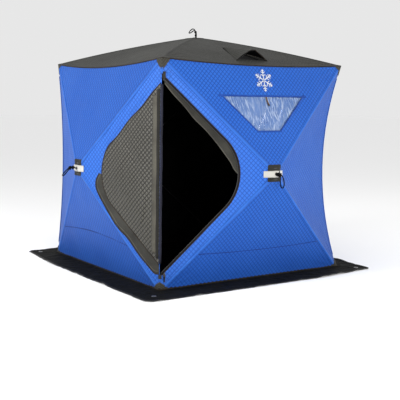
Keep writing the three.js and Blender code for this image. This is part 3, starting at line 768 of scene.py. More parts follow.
def door_half(top, bottom, tip, tip_z, radius, start=0.0, inset=0.0, steps=60):
    """Half of the door from its bottom corner to its top one: distance from the corner, and height."""
    upper, lower = math.atan2(top - tip_z, tip), math.atan2(tip_z - bottom, tip)
    axis = (upper - lower) / 2
    back = radius / math.sin((math.pi - upper - lower) / 2)
    centre = np.array([tip - back * math.cos(axis), tip_z + back * math.sin(axis)])
    angles = np.linspace(lower - math.pi / 2, math.pi / 2 - upper, steps)
    arc = centre + (radius - inset) * np.stack([np.cos(angles), np.sin(angles)], 1)
    first = (start, bottom + inset / math.cos(lower) + start * math.tan(lower))
    last = (start, top - inset / math.cos(upper) - start * math.tan(upper))
    return np.vstack([first, arc, last])


def front_plane(points):
    """From distance along the front wall's door side and height to the front panel's plane."""
    points = np.asarray(points, float)
    return np.stack([points[:, 0] * WALL_COS - HALF, points[:, 1] - HUB_HEIGHT], 1)


def left_plane(points):
    """The same on the left wall, where the door corner is on the right."""
    return front_plane(points) * (-1, 1)


EAVES_OUT = HALF + HUB_OUT / (EAVES - HUB_HEIGHT) * EAVES_SAG[0]
ROOF_SLOPE = math.atan2(PEAK - EAVES + EAVES_SAG[0], EAVES_OUT)


def on_roof(across, up_slope):
    """A place in the roof's plane, from its distance up the front side's slope."""
    return across, -EAVES_OUT + up_slope * math.cos(ROOF_SLOPE)


WINDOW_CORNERS = np.array([(side * WINDOW[row + "_half"], WINDOW[row] - HUB_HEIGHT) for side, row in
                           ((-1, "bottom"), (1, "bottom"), (1, "top"), (-1, "top"))])
VENT_CORNERS = np.array([on_roof(side * VENT_HOLE[row + "_half"], VENT_HOLE[row]) for side, row in
                         ((-1, "base"), (1, "base"), (1, "tip"), (-1, "tip"))])

DOORWAY = resample(front_plane(door_half(**DOOR, steps=28)), STEP)
LEFT_DOORWAY = resample(left_plane(door_half(**DOOR, steps=28)), STEP)
LEFT_HOLE = LEFT_WALL.unroll(RIGHT, LEFT_DOORWAY)
HOLES = {
    "front": {TOP: [FRONT_WALL.unroll(TOP, resample(WINDOW_CORNERS, STEP, closed=True))]},
    "roof": {BOTTOM: [ROOF.unroll(BOTTOM, resample(VENT_CORNERS, STEP, closed=True))]},
}
NOTCHES = {"front": (LEFT, FRONT_WALL.unroll(LEFT, DOORWAY)), "left": (RIGHT, LEFT_HOLE)}


# ---- skins and linings ----
def puff(chart):
    """How far up each place of a stitched square stands, from nothing at its seams to one."""
    share = np.abs(np.sin(math.pi * chart / QUILT))
    return (share[:, 0] * share[:, 1]) ** 0.8


def folds_of_skin(panel, side, chart, border):
    """Slack between the seams, and tension folds that fan out from both corners of the side."""
    flat_skin = panel.roll_up(side, chart, 0.0)
    raised = smoothstep(border / 0.10) * 0.0035 * rumple(flat_skin, 0.22, side + 1)
    for corner in (0, -1):
        spread = chart - panel.charts[side][1][corner]
        angle = np.arctan2(spread[:, 1], spread[:, 0])
        pull = np.exp(-((np.linalg.norm(spread, axis=1) - 0.16) / 0.14) ** 2)
        raised = raised + 0.0016 * smoothstep(border / 0.04) * pull * np.sin(angle * 26)
    return raised


def declare_sheet(obj, flat):
    area = sum(face.area for face in obj.data.polygons)
    scale = math.sqrt(max(area / (flat[0] * flat[1]), 1.0))
    flat = (round(flat[0] * scale, 3), round(flat[1] * scale, 3))


def notched(outline, ring):
    """The side's outline with half of the door taken out of its corner edge."""
    gaps = [np.linalg.norm(outline - end, axis=1).argmin() for end in (ring[0], ring[-1])]
    low, high = min(gaps), max(gaps)
    ring = ring if gaps[0] == low else ring[::-1]
    return np.vstack([outline[:low], ring, outline[high + 1:]])


def add_skin(panel, lining):
    """A panel's quilted skin or its lining, painted near black as shade, with the doorway, the window or the
    vent left open.
    """
    is_roof = panel is ROOF
    label = "roof" if is_roof else f"{panel.name}_wall"
    step = 2 * QUILT if lining else STEP
    notch_side, notch = NOTCHES.get(panel.name, (None, None))
    places, faces, cloth, count = [], [], [], 0
    for side in range(4):
        outline = panel.outline(side, step if is_roof else STEP)
        holes = HOLES.get(panel.name, {}).get(side, [])
        first_face = sum(map(len, faces))
        if side == notch_side:
            outline = notched(outline, notch)
        chart, found = fill(outline, step, holes)
        if side == notch_side:
            door_side = slice(first_face, first_face + len(found))
        height = LINING_DEPTH
        if not lining:
            border = np.min([distance(chart, ring) for ring in (outline, *holes)], axis=0)
            height = PUFF * puff(chart) * smoothstep(border / 0.02)
            height = height + folds_of_skin(panel, side, chart, border)
        places.append(panel.roll_up(side, chart, height))
        faces.append(found + count)
        cloth.append(chart)
        count += len(chart)
    kind, look = ("lining", "inside") if lining else ("skin", "roof" if is_roof else "shell")
    skin = piece(f"{label}_{kind}", np.vstack(places), np.vstack(faces), look, np.vstack(cloth),
                 merge=0.0003, on=panel)
    declare_sheet(skin, (2 * HALF, 2 * HALF if is_roof else EAVES))
    if lining:
        skin.data.flip_normals()
        return
    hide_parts("roof" if is_roof else f"wall_{panel.name}")
    # the door-side facets take the lighter copy of the quilt, painted light
    if notch is not None:
        skin.data.materials.append(mat["shell_painted_light"])
        for face in skin.data.polygons[door_side]:
            face.material_index = 1


for panel in PANELS.values():
    for lining in (False, True):
        add_skin(panel, lining)


# ---- seams, hems and bindings ----
STRIP_SECTION = np.array([(-1, 0), (-.94, .8), (-.72, .55), (-.55, 1), (-.2, 1), (0, 1.1), (.2, 1), (.55, 1),
                          (.72, .55), (.94, .8), (1, 0)])


def panel_strip(panel, name, start, end, half, thick, material, step=0.02, lift=0.0):
    """A strip that lies on the skin between two places in the panel's plane."""
    length = float(np.linalg.norm(end - start))
    along = unit(end - start)
    beside = np.array([-along[1], along[0]]) * half
    count = max(2, round(length / step) + 1)
    share = np.linspace(0, 1, count)[:, None]
    line = start + (end - start) * share
    places = np.stack([panel.surface(line + beside * x, lift + thick * y) for x, y in STRIP_SECTION], 1)
    cloth = [(s * length, x * half) for s in share[:, 0] for x in STRIP_SECTION[:, 0]]
    faces = [(b, c, d, a) for a, b, c, d in grid_faces(count, len(STRIP_SECTION))]
    return piece(name, places.reshape(-1, 3), faces, material, cloth)


def join_pieces(name, parts, panel):
    """Several meshes of one material made into one piece on the panel."""
    whole = parts[0]
    work = bmesh.new()
    for part in parts:
        work.from_mesh(part.data)
    work.to_mesh(whole.data)
    work.free()
    for part in parts[1:]:
        bpy.data.objects.remove(part)
    whole.name = name
    cling(whole, panel)


SLEEVE = {"half": 0.0165, "start": 0.052, "stop": 0.045}


def add_ridge_sleeves(panel):
    """The sewn sleeves that hold the poles, along the four ridges of a panel."""
    look, slot = ("roof_plain", "roof_fabric") if panel is ROOF else ("shell_plain", "shell_fabric")
    parts = []
    for i, rays in enumerate(panel.rays):
        corner = panel.flat(panel.apex + rays[:1])[0]
        length = float(np.linalg.norm(corner))
        start, end = corner * SLEEVE["start"] / length, corner * (1 - SLEEVE["stop"] / length)
        parts.append(panel_strip(panel, f"sleeve_{i}", start, end, SLEEVE["half"], 0.0022, look))
    join_pieces(f"ridge_sleeves_{panel.name}", parts, panel)


def add_seams():
    """Corner seams are piped in the wall's own cloth, the eaves and the foot are bound in brown."""
    foot_out, foot_up = HALF + 0.004, 0.013
    foot = np.linspace((-foot_out, -foot_out, foot_up), (foot_out, -foot_out, foot_up), 40)
    for q, (corner, wall) in enumerate(zip(CORNERS, WALLS)):
        seam = turned(corner_seam(-1, CORNER_SAG[q]), q)[1:-1]
        if q == 0:  # the door's corner is piped above the door only
            seam = [(-HALF, -HALF, z) for z in np.linspace(DOOR["top"] + 0.004, EAVES - 0.070, 6)]
        for name, path, section, look, slot, out in (
            (f"corner_seam_{corner}", seam, band(0.009, 0.0032), "shell_plain", "shell_fabric", (-1, -1, 0)),
            (f"eaves_binding_{wall}", turned(eaves_seam(EAVES_SAG[q]), q), circle(0.0062, 10, 0.7), "eaves",
             "webbing", (0, -0.75, 0.66)),
            (f"foot_binding_{wall}", turned(foot, q), band(0.013, 0.004), "binding", "webbing", (0, -1, 0.1)),
        ):
            shell_sweep(name, path, section, look, slot, facing(*out, q))


def add_low_seams():
    """Where the wall's cloth is pieced: a shallow arched seam across every wall."""
    for name, panel in WALLS.items():
        height, bulge = (0.300, 0.035) if name == "left" else (0.265, -0.015)
        share = np.linspace(-1, 1, 50)
        level = height + bulge * (1 - share ** 2) - HUB_HEIGHT
        plane = np.stack([share * (HALF * -level / HUB_HEIGHT - 0.020), level], 1)
        sweep(f"low_seam_{name}", panel.surface(plane, 0.0004), band(0.0030, 0.0018), "seam", "shell_fabric",
              normals=panel.out, on=panel)


for panel in PANELS.values():
    add_ridge_sleeves(panel)
add_seams()
add_low_seams()

# ---- hub patches and strips ----
PATCH = {"left": 0.071, "right": 0.057, "up": 0.073, "down": 0.061, "thick": 0.0026}
STRIP = {"left": 0.105, "right": 0.087, "half": 0.025, "thick": 0.0016}
CORD_HOLE = 0.009
PAD_STEP, PAD_EDGE = 0.006, 0.004


def pad(panel, name, low, high, thick, lift, material, node=None):
    """A sewn patch on the skin: a raised sheet with a turned-down rim."""
    columns, rows = (np.linspace(a, b, max(3, round((b - a) / PAD_STEP) + 1)) for a, b in zip(low, high))
    grid = np.stack(np.meshgrid(columns, rows), -1).reshape(-1, 2)
    to_edge = np.minimum(grid - low, np.subtract(high, grid)).min(1)
    stitched = 0.35 * np.exp(-((to_edge - 2 * PAD_EDGE) / 0.0016) ** 2)
    height = lift + thick * (smoothstep(to_edge / PAD_EDGE) - stitched)
    height = height + 0.0008 * rumple(solid(grid), 0.04, len(name))
    cloth = grid - (np.array(low) + np.array(high)) / 2
    piece(name, panel.surface(grid, height), grid_faces(len(rows), len(columns)), material, cloth,
          on=panel, node=node)


def add_hub_dress(panel):
    """The patch over the hub, and on the walls a reflective strip with the cord's eyelet in it."""
    name = panel.name
    pad(panel, f"hub_patch_{name}_webbing", (-PATCH["left"], -PATCH["down"]), (PATCH["right"], PATCH["up"]),
        PATCH["thick"], 0.0022, "webbing", node=f"hub_patch_{name}")
    if panel is ROOF:
        return
    pad(panel, f"reflective_strip_{name}", (-STRIP["left"], -STRIP["half"]), (STRIP["right"], STRIP["half"]),
        STRIP["thick"], 0.0052, "tape")
    rim = panel.surface(ring_points(CORD_HOLE, 24), 0.0068)
    sweep(f"cord_eyelet_{name}", rim, circle(0.0018, 8), "moulding", "zip_hardware", closed=True, on=panel)


for panel in PANELS.values():
    add_hub_dress(panel)


# ---- the corner door ----
def facet_frame(panel, to_plane):
    """A flat side's own frame: distance from the corner, height, and out from the cloth."""
    places = panel.surface(to_plane([(0.02, 0.5), (0.3, 0.5), (0.02, 1.0)]))
    across, up = unit(places[1] - places[0]), unit(places[2] - places[0])
    out = unit(np.cross(across, up))
    return places[0] - across * 0.02 - up * 0.5, across, up, out if out @ panel.out > 0 else -out


FRONT_FACET = facet_frame(FRONT_WALL, front_plane)
LEFT_FACET = facet_frame(LEFT_WALL, left_plane)
FRONT_OUT, LEFT_OUT = FRONT_FACET[3], LEFT_FACET[3]


def on_facet(facet, points, height=0.0):
    origin, across, up, out = facet
    points = np.asarray(points, float)
    return (origin + points[:, :1] * across + points[:, 1:2] * up
            + np.broadcast_to(height, len(points))[:, None] * out)


LEAF_LOW = 0.0024  # the leaf's outer cloth lies this far off the wall it is folded onto
LEAF_SEAM = 0.0042  # and its lining's stitches this far
LEAF_PUFF = 0.0040
LEAF_BAND = 0.055  # unquilted cloth next to the corner
LEAF_FOLDS = (  # distance from the corner, height, slant, length and depth
    (0.13, 0.62, 0.30, 0.22, 0.007), (0.09, 0.50, 0.22, 0.25, 0.006),
    (0.20, 0.42, 0.45, 0.16, 0.006), (0.30, 1.02, -0.5, 0.14, 0.004),
)
LEAF_STRIPES = (  # from the corner, half width, thickness and look
    ("light_band", 0.059, 0.021, 0.0030, "lining_plain"), ("dark_fold", 0.0235, 0.0150, 0.0012, "fold"),
)
BAND_OUTER = [  # the outer edge of the storm flap along the leaf's lower zip, from the tip to the corner
    (.664, .842), (.699, .782), (.697, .721), (.636, .634), (.546, .532), (.460, .441),
    (.332, .357), (.220, .254), (.124, .180), (.045, .129), (.004, .131),
]
BAND_SLACK = 0.02
BAND_FOLD = 0.022  # the band's folded strip, from its outer edge


def leaf_outline(inset=0.0):
    """The leaf is slack along its upper edge, where the cut zip lets it wave."""
    ring = resample(door_half(**LEAF, start=0.006, inset=inset), ROUTE_STEP)
    wave = 0.0055 * np.sin(ring[:, 1] * 26.0) * smoothstep((ring[:, 1] - 0.95) / 0.2)
    away = unit(ring - (0.1, LEAF["tip_z"]))
    return ring + away * wave[:, None] * smoothstep(ring[:, :1] / 0.1)


def on_the_cross(points):
    return np.stack([points[:, 0] + points[:, 1], points[:, 1] - points[:, 0]], 1) / math.sqrt(2)


def leaf_height(points, border):
    """How far the lining stands off: squares between stitches, a crown, and soft folds."""
    opening = door_half(**DOOR)
    inner, covers_opening = distance(points, opening), inside(points, opening)
    crown = 0.008 * smoothstep((inner - 0.09) / 0.12) * covers_opening
    pillows = puff(on_the_cross(points)) * smoothstep((points[:, 0] - LEAF_BAND) / 0.012)
    folds = 0.0
    for x, z, slant, length, deep in LEAF_FOLDS:
        along = points[:, 1] - z
        off = points[:, 0] - x + along * slant
        folds = folds - deep * np.exp(-(off / 0.022) ** 2) * np.exp(-(along / length) ** 2)
    loose = smoothstep((inner - 0.09) / 0.08) * covers_opening
    rise = crown + loose * (folds + 0.003 * rumple(solid(points, points[:, 0]), 0.12, 5))
    fade = smoothstep(border / 0.014)
    return LEAF_SEAM + fade * (LEAF_PUFF * (0.55 + 0.45 * loose) * pillows + np.maximum(rise, 0.0))


def outer_height(points, border):
    return LEAF_LOW


def band_height(points, border):
    waves = 0.0012 * np.abs(rumple(solid(points, points[:, 1]), 0.05, 9))
    return 0.0012 + 0.0022 * smoothstep(border / 0.02) + waves * smoothstep(border / 0.01)


def leaf_sheet(name, outline, spacing, height_of, material, turned_over, node=None):
    points, faces = fill(outline, spacing)
    places = on_facet(LEFT_FACET, points, height_of(points, distance(points, outline)))
    faces = faces if turned_over else faces[:, ::-1]
    return piece(name, places, faces, material, on_the_cross(points), on="door_leaf", node=node)


def leaf_sweep(name, line, height, section, material, slot="webbing"):
    sweep(f"door_leaf_{name}", on_facet(LEFT_FACET, line, height), section, material, slot, normals=LEFT_OUT,
          on="door_leaf")


def add_leaf():
    """The loose half of the door, folded back so that its lining is outside."""
    outline = leaf_outline()
    lining = leaf_sheet("door_leaf_lining", outline, QUILT / 4, leaf_height, "lining", False,
                        "door_right_half")
    outer = leaf_sheet("door_leaf_cloth", outline, QUILT, outer_height, "shell", True)
    # these stripes are painted light and painted shade on the roll of the leaf's fold at the corner
    for name, start, half, thick, material in LEAF_STRIPES:
        top = LEAF["top"] - (start + half) * 1.02 - 0.010
        low = LEAF["bottom"] + (start + half) * 0.95 + 0.012
        line = [(start + 0.0015 * math.sin(z * 19), z) for z in np.linspace(low, top, 80)]
        leaf_sweep(name, line, LEAF_SEAM + 0.0010, band(half, thick, 0.6), material, "lining_fabric")
    leaf_sweep("piping", outline, 0.0036, circle(0.0048, 10, 0.55), "binding")
    for obj in (lining, outer):
        declare_sheet(obj, (0.66, 1.36))
    outer_edge = smooth_route(BAND_OUTER, 4)
    inner_edge = leaf_outline(inset=BAND_SLACK)
    inner_edge = inner_edge[inner_edge[:, 1] < BAND_OUTER[0][1] - 0.01]
    ring = resample(np.vstack([outer_edge[::-1], inner_edge[::-1]]), ROUTE_STEP, closed=True)
    flap = leaf_sheet("door_leaf_storm_band", ring, 0.010, band_height, "flap", False)
    leaf_sweep("storm_hem", outer_edge, 0.003, circle(0.0032, 8, 0.7), "binding")
    middle = outer_edge + unit(np.array([0.20, LEAF["tip_z"]]) - outer_edge) * BAND_FOLD
    # a lighter line along the storm band's fold: a painted highlight on its ridge
    leaf_sweep("storm_fold", middle, 0.0036, circle(0.0030, 8, 0.6), "hem_light")
    declare_sheet(flap, (0.1, 1.1))


def add_left_half():
    """The half of the door that stays zipped to the left wall, under the folded leaf."""
    ring = np.vstack([LEFT_HOLE, resample([LEFT_HOLE[-1], (LEFT_HOLE[0] + LEFT_HOLE[-1]) / 2, LEFT_HOLE[0]],
                                          STEP)[1:-1]])
    # the zipped half of the door takes the lighter door-side quilt, painted light
    for kind, look, slot, step, node in (("skin", "shell_painted_light", "shell_fabric", STEP, "door_left_half"),
                                         ("lining", "inside", "lining_fabric", 2 * QUILT, None)):
        chart, faces = fill(ring, step)
        height = LINING_DEPTH
        if kind == "skin":
            height = PUFF * 0.6 * puff(chart) * smoothstep(distance(chart, ring) / 0.02)
        places = LEFT_WALL.roll_up(RIGHT, chart, height)
        obj = piece(f"door_left_half_{kind}", places, faces, look, chart, on=LEFT_WALL, node=node)
        declare_sheet(obj, (0.64, 1.49))
    zip_line = LEFT_WALL.surface(resample(left_plane(door_half(**DOOR, steps=50)), 0.01), 0.0002)
    sweep("door_left_seam", zip_line, band(0.003, 0.0012), "shell_plain", "shell_fabric", normals=LEFT_OUT,
          on=LEFT_WALL)


def doorway_sweep(name, points, height, section, material, slot):
    sweep(name, FRONT_WALL.surface(front_plane(points), height), section, material, slot, normals=FRONT_OUT,
          on=FRONT_WALL)


def add_doorway():
    """The doorway's edge: a dark binding outside, and the zip's tape and teeth along it."""
    for name, start, inset, height, section, material, slot in (
        ("binding", 0.0, 0.0, -0.0032, circle(0.0058, 10, 0.7), "binding", "webbing"),
        ("zip_tape", 0.004, 0.009, -0.0045, band(0.0085, 0.0018), "zip_tape", "zip_hardware"),
        ("zip_coil", 0.006, 0.016, -0.0035, circle(0.0022, 8), "moulding", "zip_hardware"),
    ):
        edge = resample(door_half(**DOOR, start=start, inset=inset), ROUTE_STEP)
        doorway_sweep(f"doorway_{name}", edge, height, section, material, slot)


FLAP_INNER = [  # free edge of the storm flap inside the doorway, from the top of the door to its tip
    (.026, 1.551), (.087, 1.478), (.189, 1.374), (.254, 1.297), (.347, 1.211), (.436, 1.114),
    (.490, 1.047), (.557, .959), (.587, .906), (.628, .864),
]
FLAP_DEPTH = -0.0070


def add_storm_flap():
    """It backs the upper zip inside the front wall and stands into the doorway."""
    inner = smooth_route(FLAP_INNER, 4)
    outer = door_half(**DOOR)
    outer = outer[outer[:, 1] > FLAP_INNER[-1][1]] + (0.012, 0.010)
    points, faces = fill(resample(np.vstack([inner, outer]), 0.010, closed=True), 0.010)
    roll = FLAP_DEPTH - 0.006 * smoothstep(distance(points, inner, closed=False) / 0.05)
    roll = roll + 0.0015 * rumple(solid(points, points[:, 0]), 0.06, 11)
    flap = piece("door_storm_flap_cloth", FRONT_WALL.surface(front_plane(points), roll), faces, "flap",
                 points, on=FRONT_WALL, node="door_storm_flap")
    declare_sheet(flap, (0.08, 1.0))
    doorway_sweep("door_storm_flap_hem", inner, FLAP_DEPTH, circle(0.0036, 8, 0.8), "hem_light",
                  "skirt_fabric")


CORNER = np.array([-HALF, -HALF, 0])
CORNER_OUT = unit([-1, -1, 0])


def add_corner_edge():
    """The door's cloth turns round the corner here: a soft roll, a bound edge, and the zip's tape."""
    low, high = LEAF["bottom"] + 0.012, LEAF["top"] - 0.012
    z = np.linspace(low, high, 60)
    taper = smoothstep((z - low) / 0.12) * smoothstep((high - z) / 0.12)
    swell = 0.0010 * np.sin(z * 21.0) + 0.0006 * np.sin(z * 47.0 + 1)
    roll = CORNER - CORNER_OUT * 0.0012 + np.stack([swell * 0.3, swell * 0.3, z], 1)
    # the lining's roll takes the dark binding colour: painted shade where it turns round the corner away from
    # the light
    shell_sweep("door_corner_roll", roll, circle(0.0052, 12), "edge", "lining_fabric", CORNER_OUT,
                widths=0.7 + 0.3 * taper)
    edge = on_facet(FRONT_FACET, np.stack([0.0105 + swell, z], 1), -0.0080)
    shell_sweep("door_corner_binding", edge, circle(0.0036), "edge", "webbing", CORNER_OUT)
    tape = on_facet(LEFT_FACET, np.stack([np.full(60, 0.0095), z], 1), 0.0006)
    shell_sweep("door_corner_tape", tape, band(0.0085, 0.0012), "zip_tape", "webbing", LEFT_OUT)


def add_toggles():
    """The strap and toggle at the top of the door, and the tab at its foot."""
    top, foot, front = DOOR["top"], DOOR["bottom"], CORNER + (0.022, 0.0, 0.0)
    strap = [front + CORNER_OUT * 0.006 + (0, 0, z) for z in np.linspace(top - 0.032, top + 0.016, 8)]
    loop = [front + CORNER_OUT * 0.013 + (x, -x, top - 0.03 + 5 * z) for x, z in ring_points(0.004, 24)]
    side = np.linspace(CORNER + (0.036, -0.012, top + 0.006), CORNER + (0.066, -0.018, top - 0.006), 6)
    tab = [CORNER + CORNER_OUT * 0.007 + (0.006, 0, z) for z in np.linspace(foot - 0.010, foot + 0.022, 8)]
    shell_sweep("door_top_tab", strap, band(0.013, 0.006), "webbing", "webbing", CORNER_OUT)
    shell_sweep("door_top_loop", loop, circle(0.003, 8), "webbing", "webbing", None, closed=True)
    shell_sweep("door_top_blue_tab", side, band(0.010, 0.003), "shell_plain", "shell_fabric", FRONT_OUT)
    shell_sweep("door_foot_tab", tab, band(0.012, 0.006), "webbing", "webbing", CORNER_OUT)


SLIDER_OUTLINE = np.array([(-.008, -.017), (.008, -.017), (.0085, 0),
                           (.005, .017), (-.005, .017), (-.0085, 0)])
SLIDER_LEVELS = ((.80, .0076), (1.0, .0088), (1.0, .0122), (.78, .0134))  # size and height of each outline


def add_zip_slider():
    """The parked slider: a rounded body with a bridge, and a cord pull on its tab."""
    centre = np.array([0.034, DOOR["bottom"] + 0.017])
    levels = [on_facet(FRONT_FACET, SLIDER_OUTLINE * size + centre, height) for size, height in SLIDER_LEVELS]
    faces = [tuple(range(5, -1, -1)), tuple(range(18, 24))]
    faces += [(r * 6 + i, r * 6 + (i + 1) % 6, (r + 1) * 6 + (i + 1) % 6, (r + 1) * 6 + i)
              for r in range(3) for i in range(6)]
    piece("zip_slider_body", np.vstack(levels), faces, "moulding", np.zeros((24, 2)),
          smooth=False, on="zip_slider", node="zipper_slider")
    bridge = on_facet(FRONT_FACET, centre + [(0, .012), (0, .008), (0, 0), (0, -.008), (0, -.012)],
                      [.0134, .0168, .0178, .0168, .0134])
    sweep("zip_slider_bridge", bridge, circle(0.0016, 8), "moulding", "zip_hardware", normals=FRONT_FACET[1],
          on="zip_slider")
    pull = on_facet(FRONT_FACET, centre + [(0, -.010), (.001, -.022), (0, -.036), (-.001, -.052)],
                    [.0158, .0128, .0108, .0100])
    sweep("zip_slider_pull", smooth_route(pull, 5), band(0.005, 0.0026), "webbing", "webbing",
          normals=FRONT_OUT, on="zip_slider")


add_left_half()
add_leaf()
add_doorway()
add_storm_flap()
add_corner_edge()
add_toggles()
add_zip_slider()

# ---- the window and the emblem ----
FILM_LAP = 0.012
FILM_DEPTH, COVER_DEPTH = -0.0050, -0.018
CREASES = [  # creases in the film: where each starts and ends in the panel's plane, its width and its depth
    ((-.36, .585), (-.15, .36), .008, .005), ((-.33, .59), (-.24, .42), .012, .005),
    ((-.10, .60), (-.16, .36), .010, .004), ((.03, .60), (-.05, .40), .008, .004),
    ((.00, .50), (-.11, .35), .010, .006), ((.20, .60), (.07, .35), .009, .005),
    ((.35, .59), (.13, .37), .009, .006), ((.28, .56), (.17, .43), .012, .005),
    ((.10, .42), (.02, .34), .009, .005), ((-.24, .52), (-.13, .40), .009, .004),
]
WINDOW_STRAP = [(0.018, 0.597), (0.020, 0.575), (0.026, 0.552), (0.034, 0.532)]


def add_window():
    """Creased film over a closed cover, with a binding round it and a strap hanging from its top."""
    middle = WINDOW_CORNERS.mean(0)
    ring = resample(middle + (WINDOW_CORNERS - middle) * (1 + FILM_LAP / 0.11), 0.014, closed=True)
    points, faces = fill(ring, 0.008)
    height = 0.003 * rumple(solid(points * (2.2, 1.0), points[:, 0]), 0.10, 21)
    for start, end, wide, deep in CREASES:
        share, off = along_line(points, np.array(start), np.array(end))
        height += deep * np.exp(-(off / wide) ** 2) * np.sin(math.pi * np.clip(share, 0.03, 0.97))
    height *= smoothstep(distance(points, WINDOW_CORNERS) * inside(points, WINDOW_CORNERS) / 0.03)
    film = piece("window_film_sheet", FRONT_WALL.surface(points, FILM_DEPTH + height), faces, "film",
                 points, on=FRONT_WALL, node="window_pane")
    declare_sheet(film, (0.84, 0.30))
    points, faces = fill(ring, 0.03)
    cover = piece("window_cover", FRONT_WALL.surface(points, COVER_DEPTH), faces, "shell",
                  points, on=FRONT_WALL)
    declare_sheet(cover, (0.84, 0.30))
    low_left, low_right, high_right, high_left = WINDOW_CORNERS
    slope = unit(high_right - low_right) * 0.04
    mirror = np.array([-1, 1])
    strips = {  # each strip lies just outside the hole's edge
        "top": (high_left + (-0.040, 0.004), high_right + (0.040, 0.004)),
        "bottom": (low_left + (-0.014, -0.004), low_right + (0.014, -0.004)),
        "left": (low_left - slope * mirror * 0.3 - (0.004, 0), high_left + slope * mirror * 0.6 - (0.004, 0)),
        "right": (low_right - slope * 0.3 + (0.004, 0), high_right + slope * 0.6 + (0.004, 0)),
    }
    parts = [panel_strip(FRONT_WALL, f"window_{name}", a, b, 0.006, 0.0024, "window_hem",
                         lift=0.0006) for name, (a, b) in strips.items()]
    join_pieces("window_binding", parts, FRONT_WALL)
    strap = FRONT_WALL.surface(smooth_route(WINDOW_STRAP, 5), 0.006)
    sweep("window_strap", strap, band(0.006, 0.002), "strap", "webbing", normals=FRONT_WALL.out,
          on=FRONT_WALL)
    turn = np.linspace(0, math.pi, 9)
    knob = FRONT_WALL.surface(WINDOW_STRAP[-1:], 0.008) + np.outer(np.cos(turn) * 0.009, FRONT_WALL.up)
    sweep("window_strap_knob", knob, circle(0.0075), "moulding", "zip_hardware",
          widths=np.maximum(np.sin(turn), 0.05), on=FRONT_WALL)


EMBLEM = {"across": 0.024, "up": 1.594, "arm": 0.088, "half": 0.0042, "height": 0.0036}
BARBS = ((0.40, 0.026), (0.66, 0.022), (0.86, 0.012))  # share of the arm, and length


def add_emblem():
    """A plain six-armed snowflake printed above the window."""
    centre = np.array([EMBLEM["across"], EMBLEM["up"] - HUB_HEIGHT])
    bars = []
    for k in range(6):
        angle = math.pi / 2 + k * math.pi / 3
        way = np.array([math.cos(angle), math.sin(angle)])
        bars.append((way * 0.006, way * EMBLEM["arm"], EMBLEM["half"]))
        for reach, barb in BARBS:
            root = way * EMBLEM["arm"] * reach
            for turn in (angle - math.pi / 3, angle + math.pi / 3):
                tip = root + barb * np.array([math.cos(turn), math.sin(turn)])
                bars.append((root, tip, EMBLEM["half"] * 0.8))
    parts = []
    for i, (start, end, half) in enumerate(bars):
        lift = EMBLEM["height"] + 0.00001 * i
        parts.append(panel_strip(FRONT_WALL, f"bar_{i}", centre + start, centre + end, half, 0.0004, "print",
                                 step=0.006, lift=lift))
    join_pieces("snowflake_print", parts, FRONT_WALL)


add_window()
add_emblem()

# ---- the roof vent ----
HOOD_AXIS = (0.0, -math.sin(ROOF_SLOPE), math.cos(ROOF_SLOPE))
HOOD_ROWS, HOOD_COLUMNS = 26, 13


def off_roof(across, up_slope, height):
    return ROOF.surface([on_roof(across, up_slope)])[0] + np.array(HOOD_AXIS) * height


HOOD_PEAK = off_roof(0, 0.520, 0.004)
HOOD_MOUTH = [off_roof(*place) for place in (
    (-0.145, 0.110, 0.003), (-0.020, 0.130, 0.080), (0.036, 0.130, 0.088), (0.182, 0.130, 0.003))]
HOOD_PROP = [off_roof(-0.035, 0.130, 0.046), off_roof(0.06, 0.128, 0.030),
             HOOD_MOUTH[3] + (-0.02, -0.004, 0.004)]


def fold_with_hood(obj):
    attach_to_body(obj, "shell")
    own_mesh(obj)


def hood_sheet(sink):
    """Three slack triangles from the peak to the mouth, sunk by so much below the cloth."""
    vertices, faces, cloth = [], [], []
    for start, end in zip(HOOD_MOUTH, HOOD_MOUTH[1:]):
        faces += [(a, d, c, b) for a, b, c, d in grid_faces(HOOD_ROWS + 1, HOOD_COLUMNS + 1, len(vertices))]
        bulge = unit(np.cross(start - HOOD_PEAK, end - HOOD_PEAK))
        bulge = bulge if bulge @ np.array(HOOD_AXIS) > 0 else -bulge
        width = float(np.linalg.norm(end - start))
        for down in np.arange(HOOD_ROWS + 1) / HOOD_ROWS:
            for c in np.arange(HOOD_COLUMNS + 1) / HOOD_COLUMNS:
                slack = 0.006 * math.sin(math.pi * c) * down - sink * math.sin(math.pi * min(down * 4, 1) / 2)
                vertices.append(HOOD_PEAK + (start + (end - start) * c - HOOD_PEAK) * down + bulge * slack)
                cloth.append((down * 0.46, c * width))
    return vertices, faces, cloth


def add_vent():
    """Mesh over the hole, and a hood over the mesh with its rim and the prop that holds it open."""
    middle = VENT_CORNERS.mean(0)
    points, faces = fill(resample(middle + (VENT_CORNERS - middle) * 1.08, 0.02, closed=True), 0.012)
    mesh = piece("vent_mesh_sheet", ROOF.surface(points, -0.008), faces, "mesh", points, on=ROOF,
                 node="vent_mesh")
    declare_sheet(mesh, (0.33, 0.46))
    # the hood's lining is the near-black inside lining, painted shade
    for name, sink, material, slot in (("cloth", 0.0, "roof", "roof_fabric"),
                                       ("lining", 0.004, "inside", "lining_fabric")):
        vertices, faces, cloth = hood_sheet(sink)
        if name == "lining":
            faces = [face[::-1] for face in faces]
        hood = piece(f"vent_hood_{name}", vertices, faces, material, cloth, merge=0.0003)
        fold_with_hood(hood)
        declare_sheet(hood, (0.40, 0.50))
        if name == "cloth":
            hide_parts("vent_hood")
    for name, route, section, material, out in (("rim", HOOD_MOUTH, circle(0.0035, 8, 0.8), "binding", None),
                                                ("prop", HOOD_PROP, band(0.0055, 0.003), "prop", HOOD_AXIS)):
        fold_with_hood(sweep(f"vent_hood_{name}", resample(route, 0.01), section, material, "webbing", out))


add_vent()

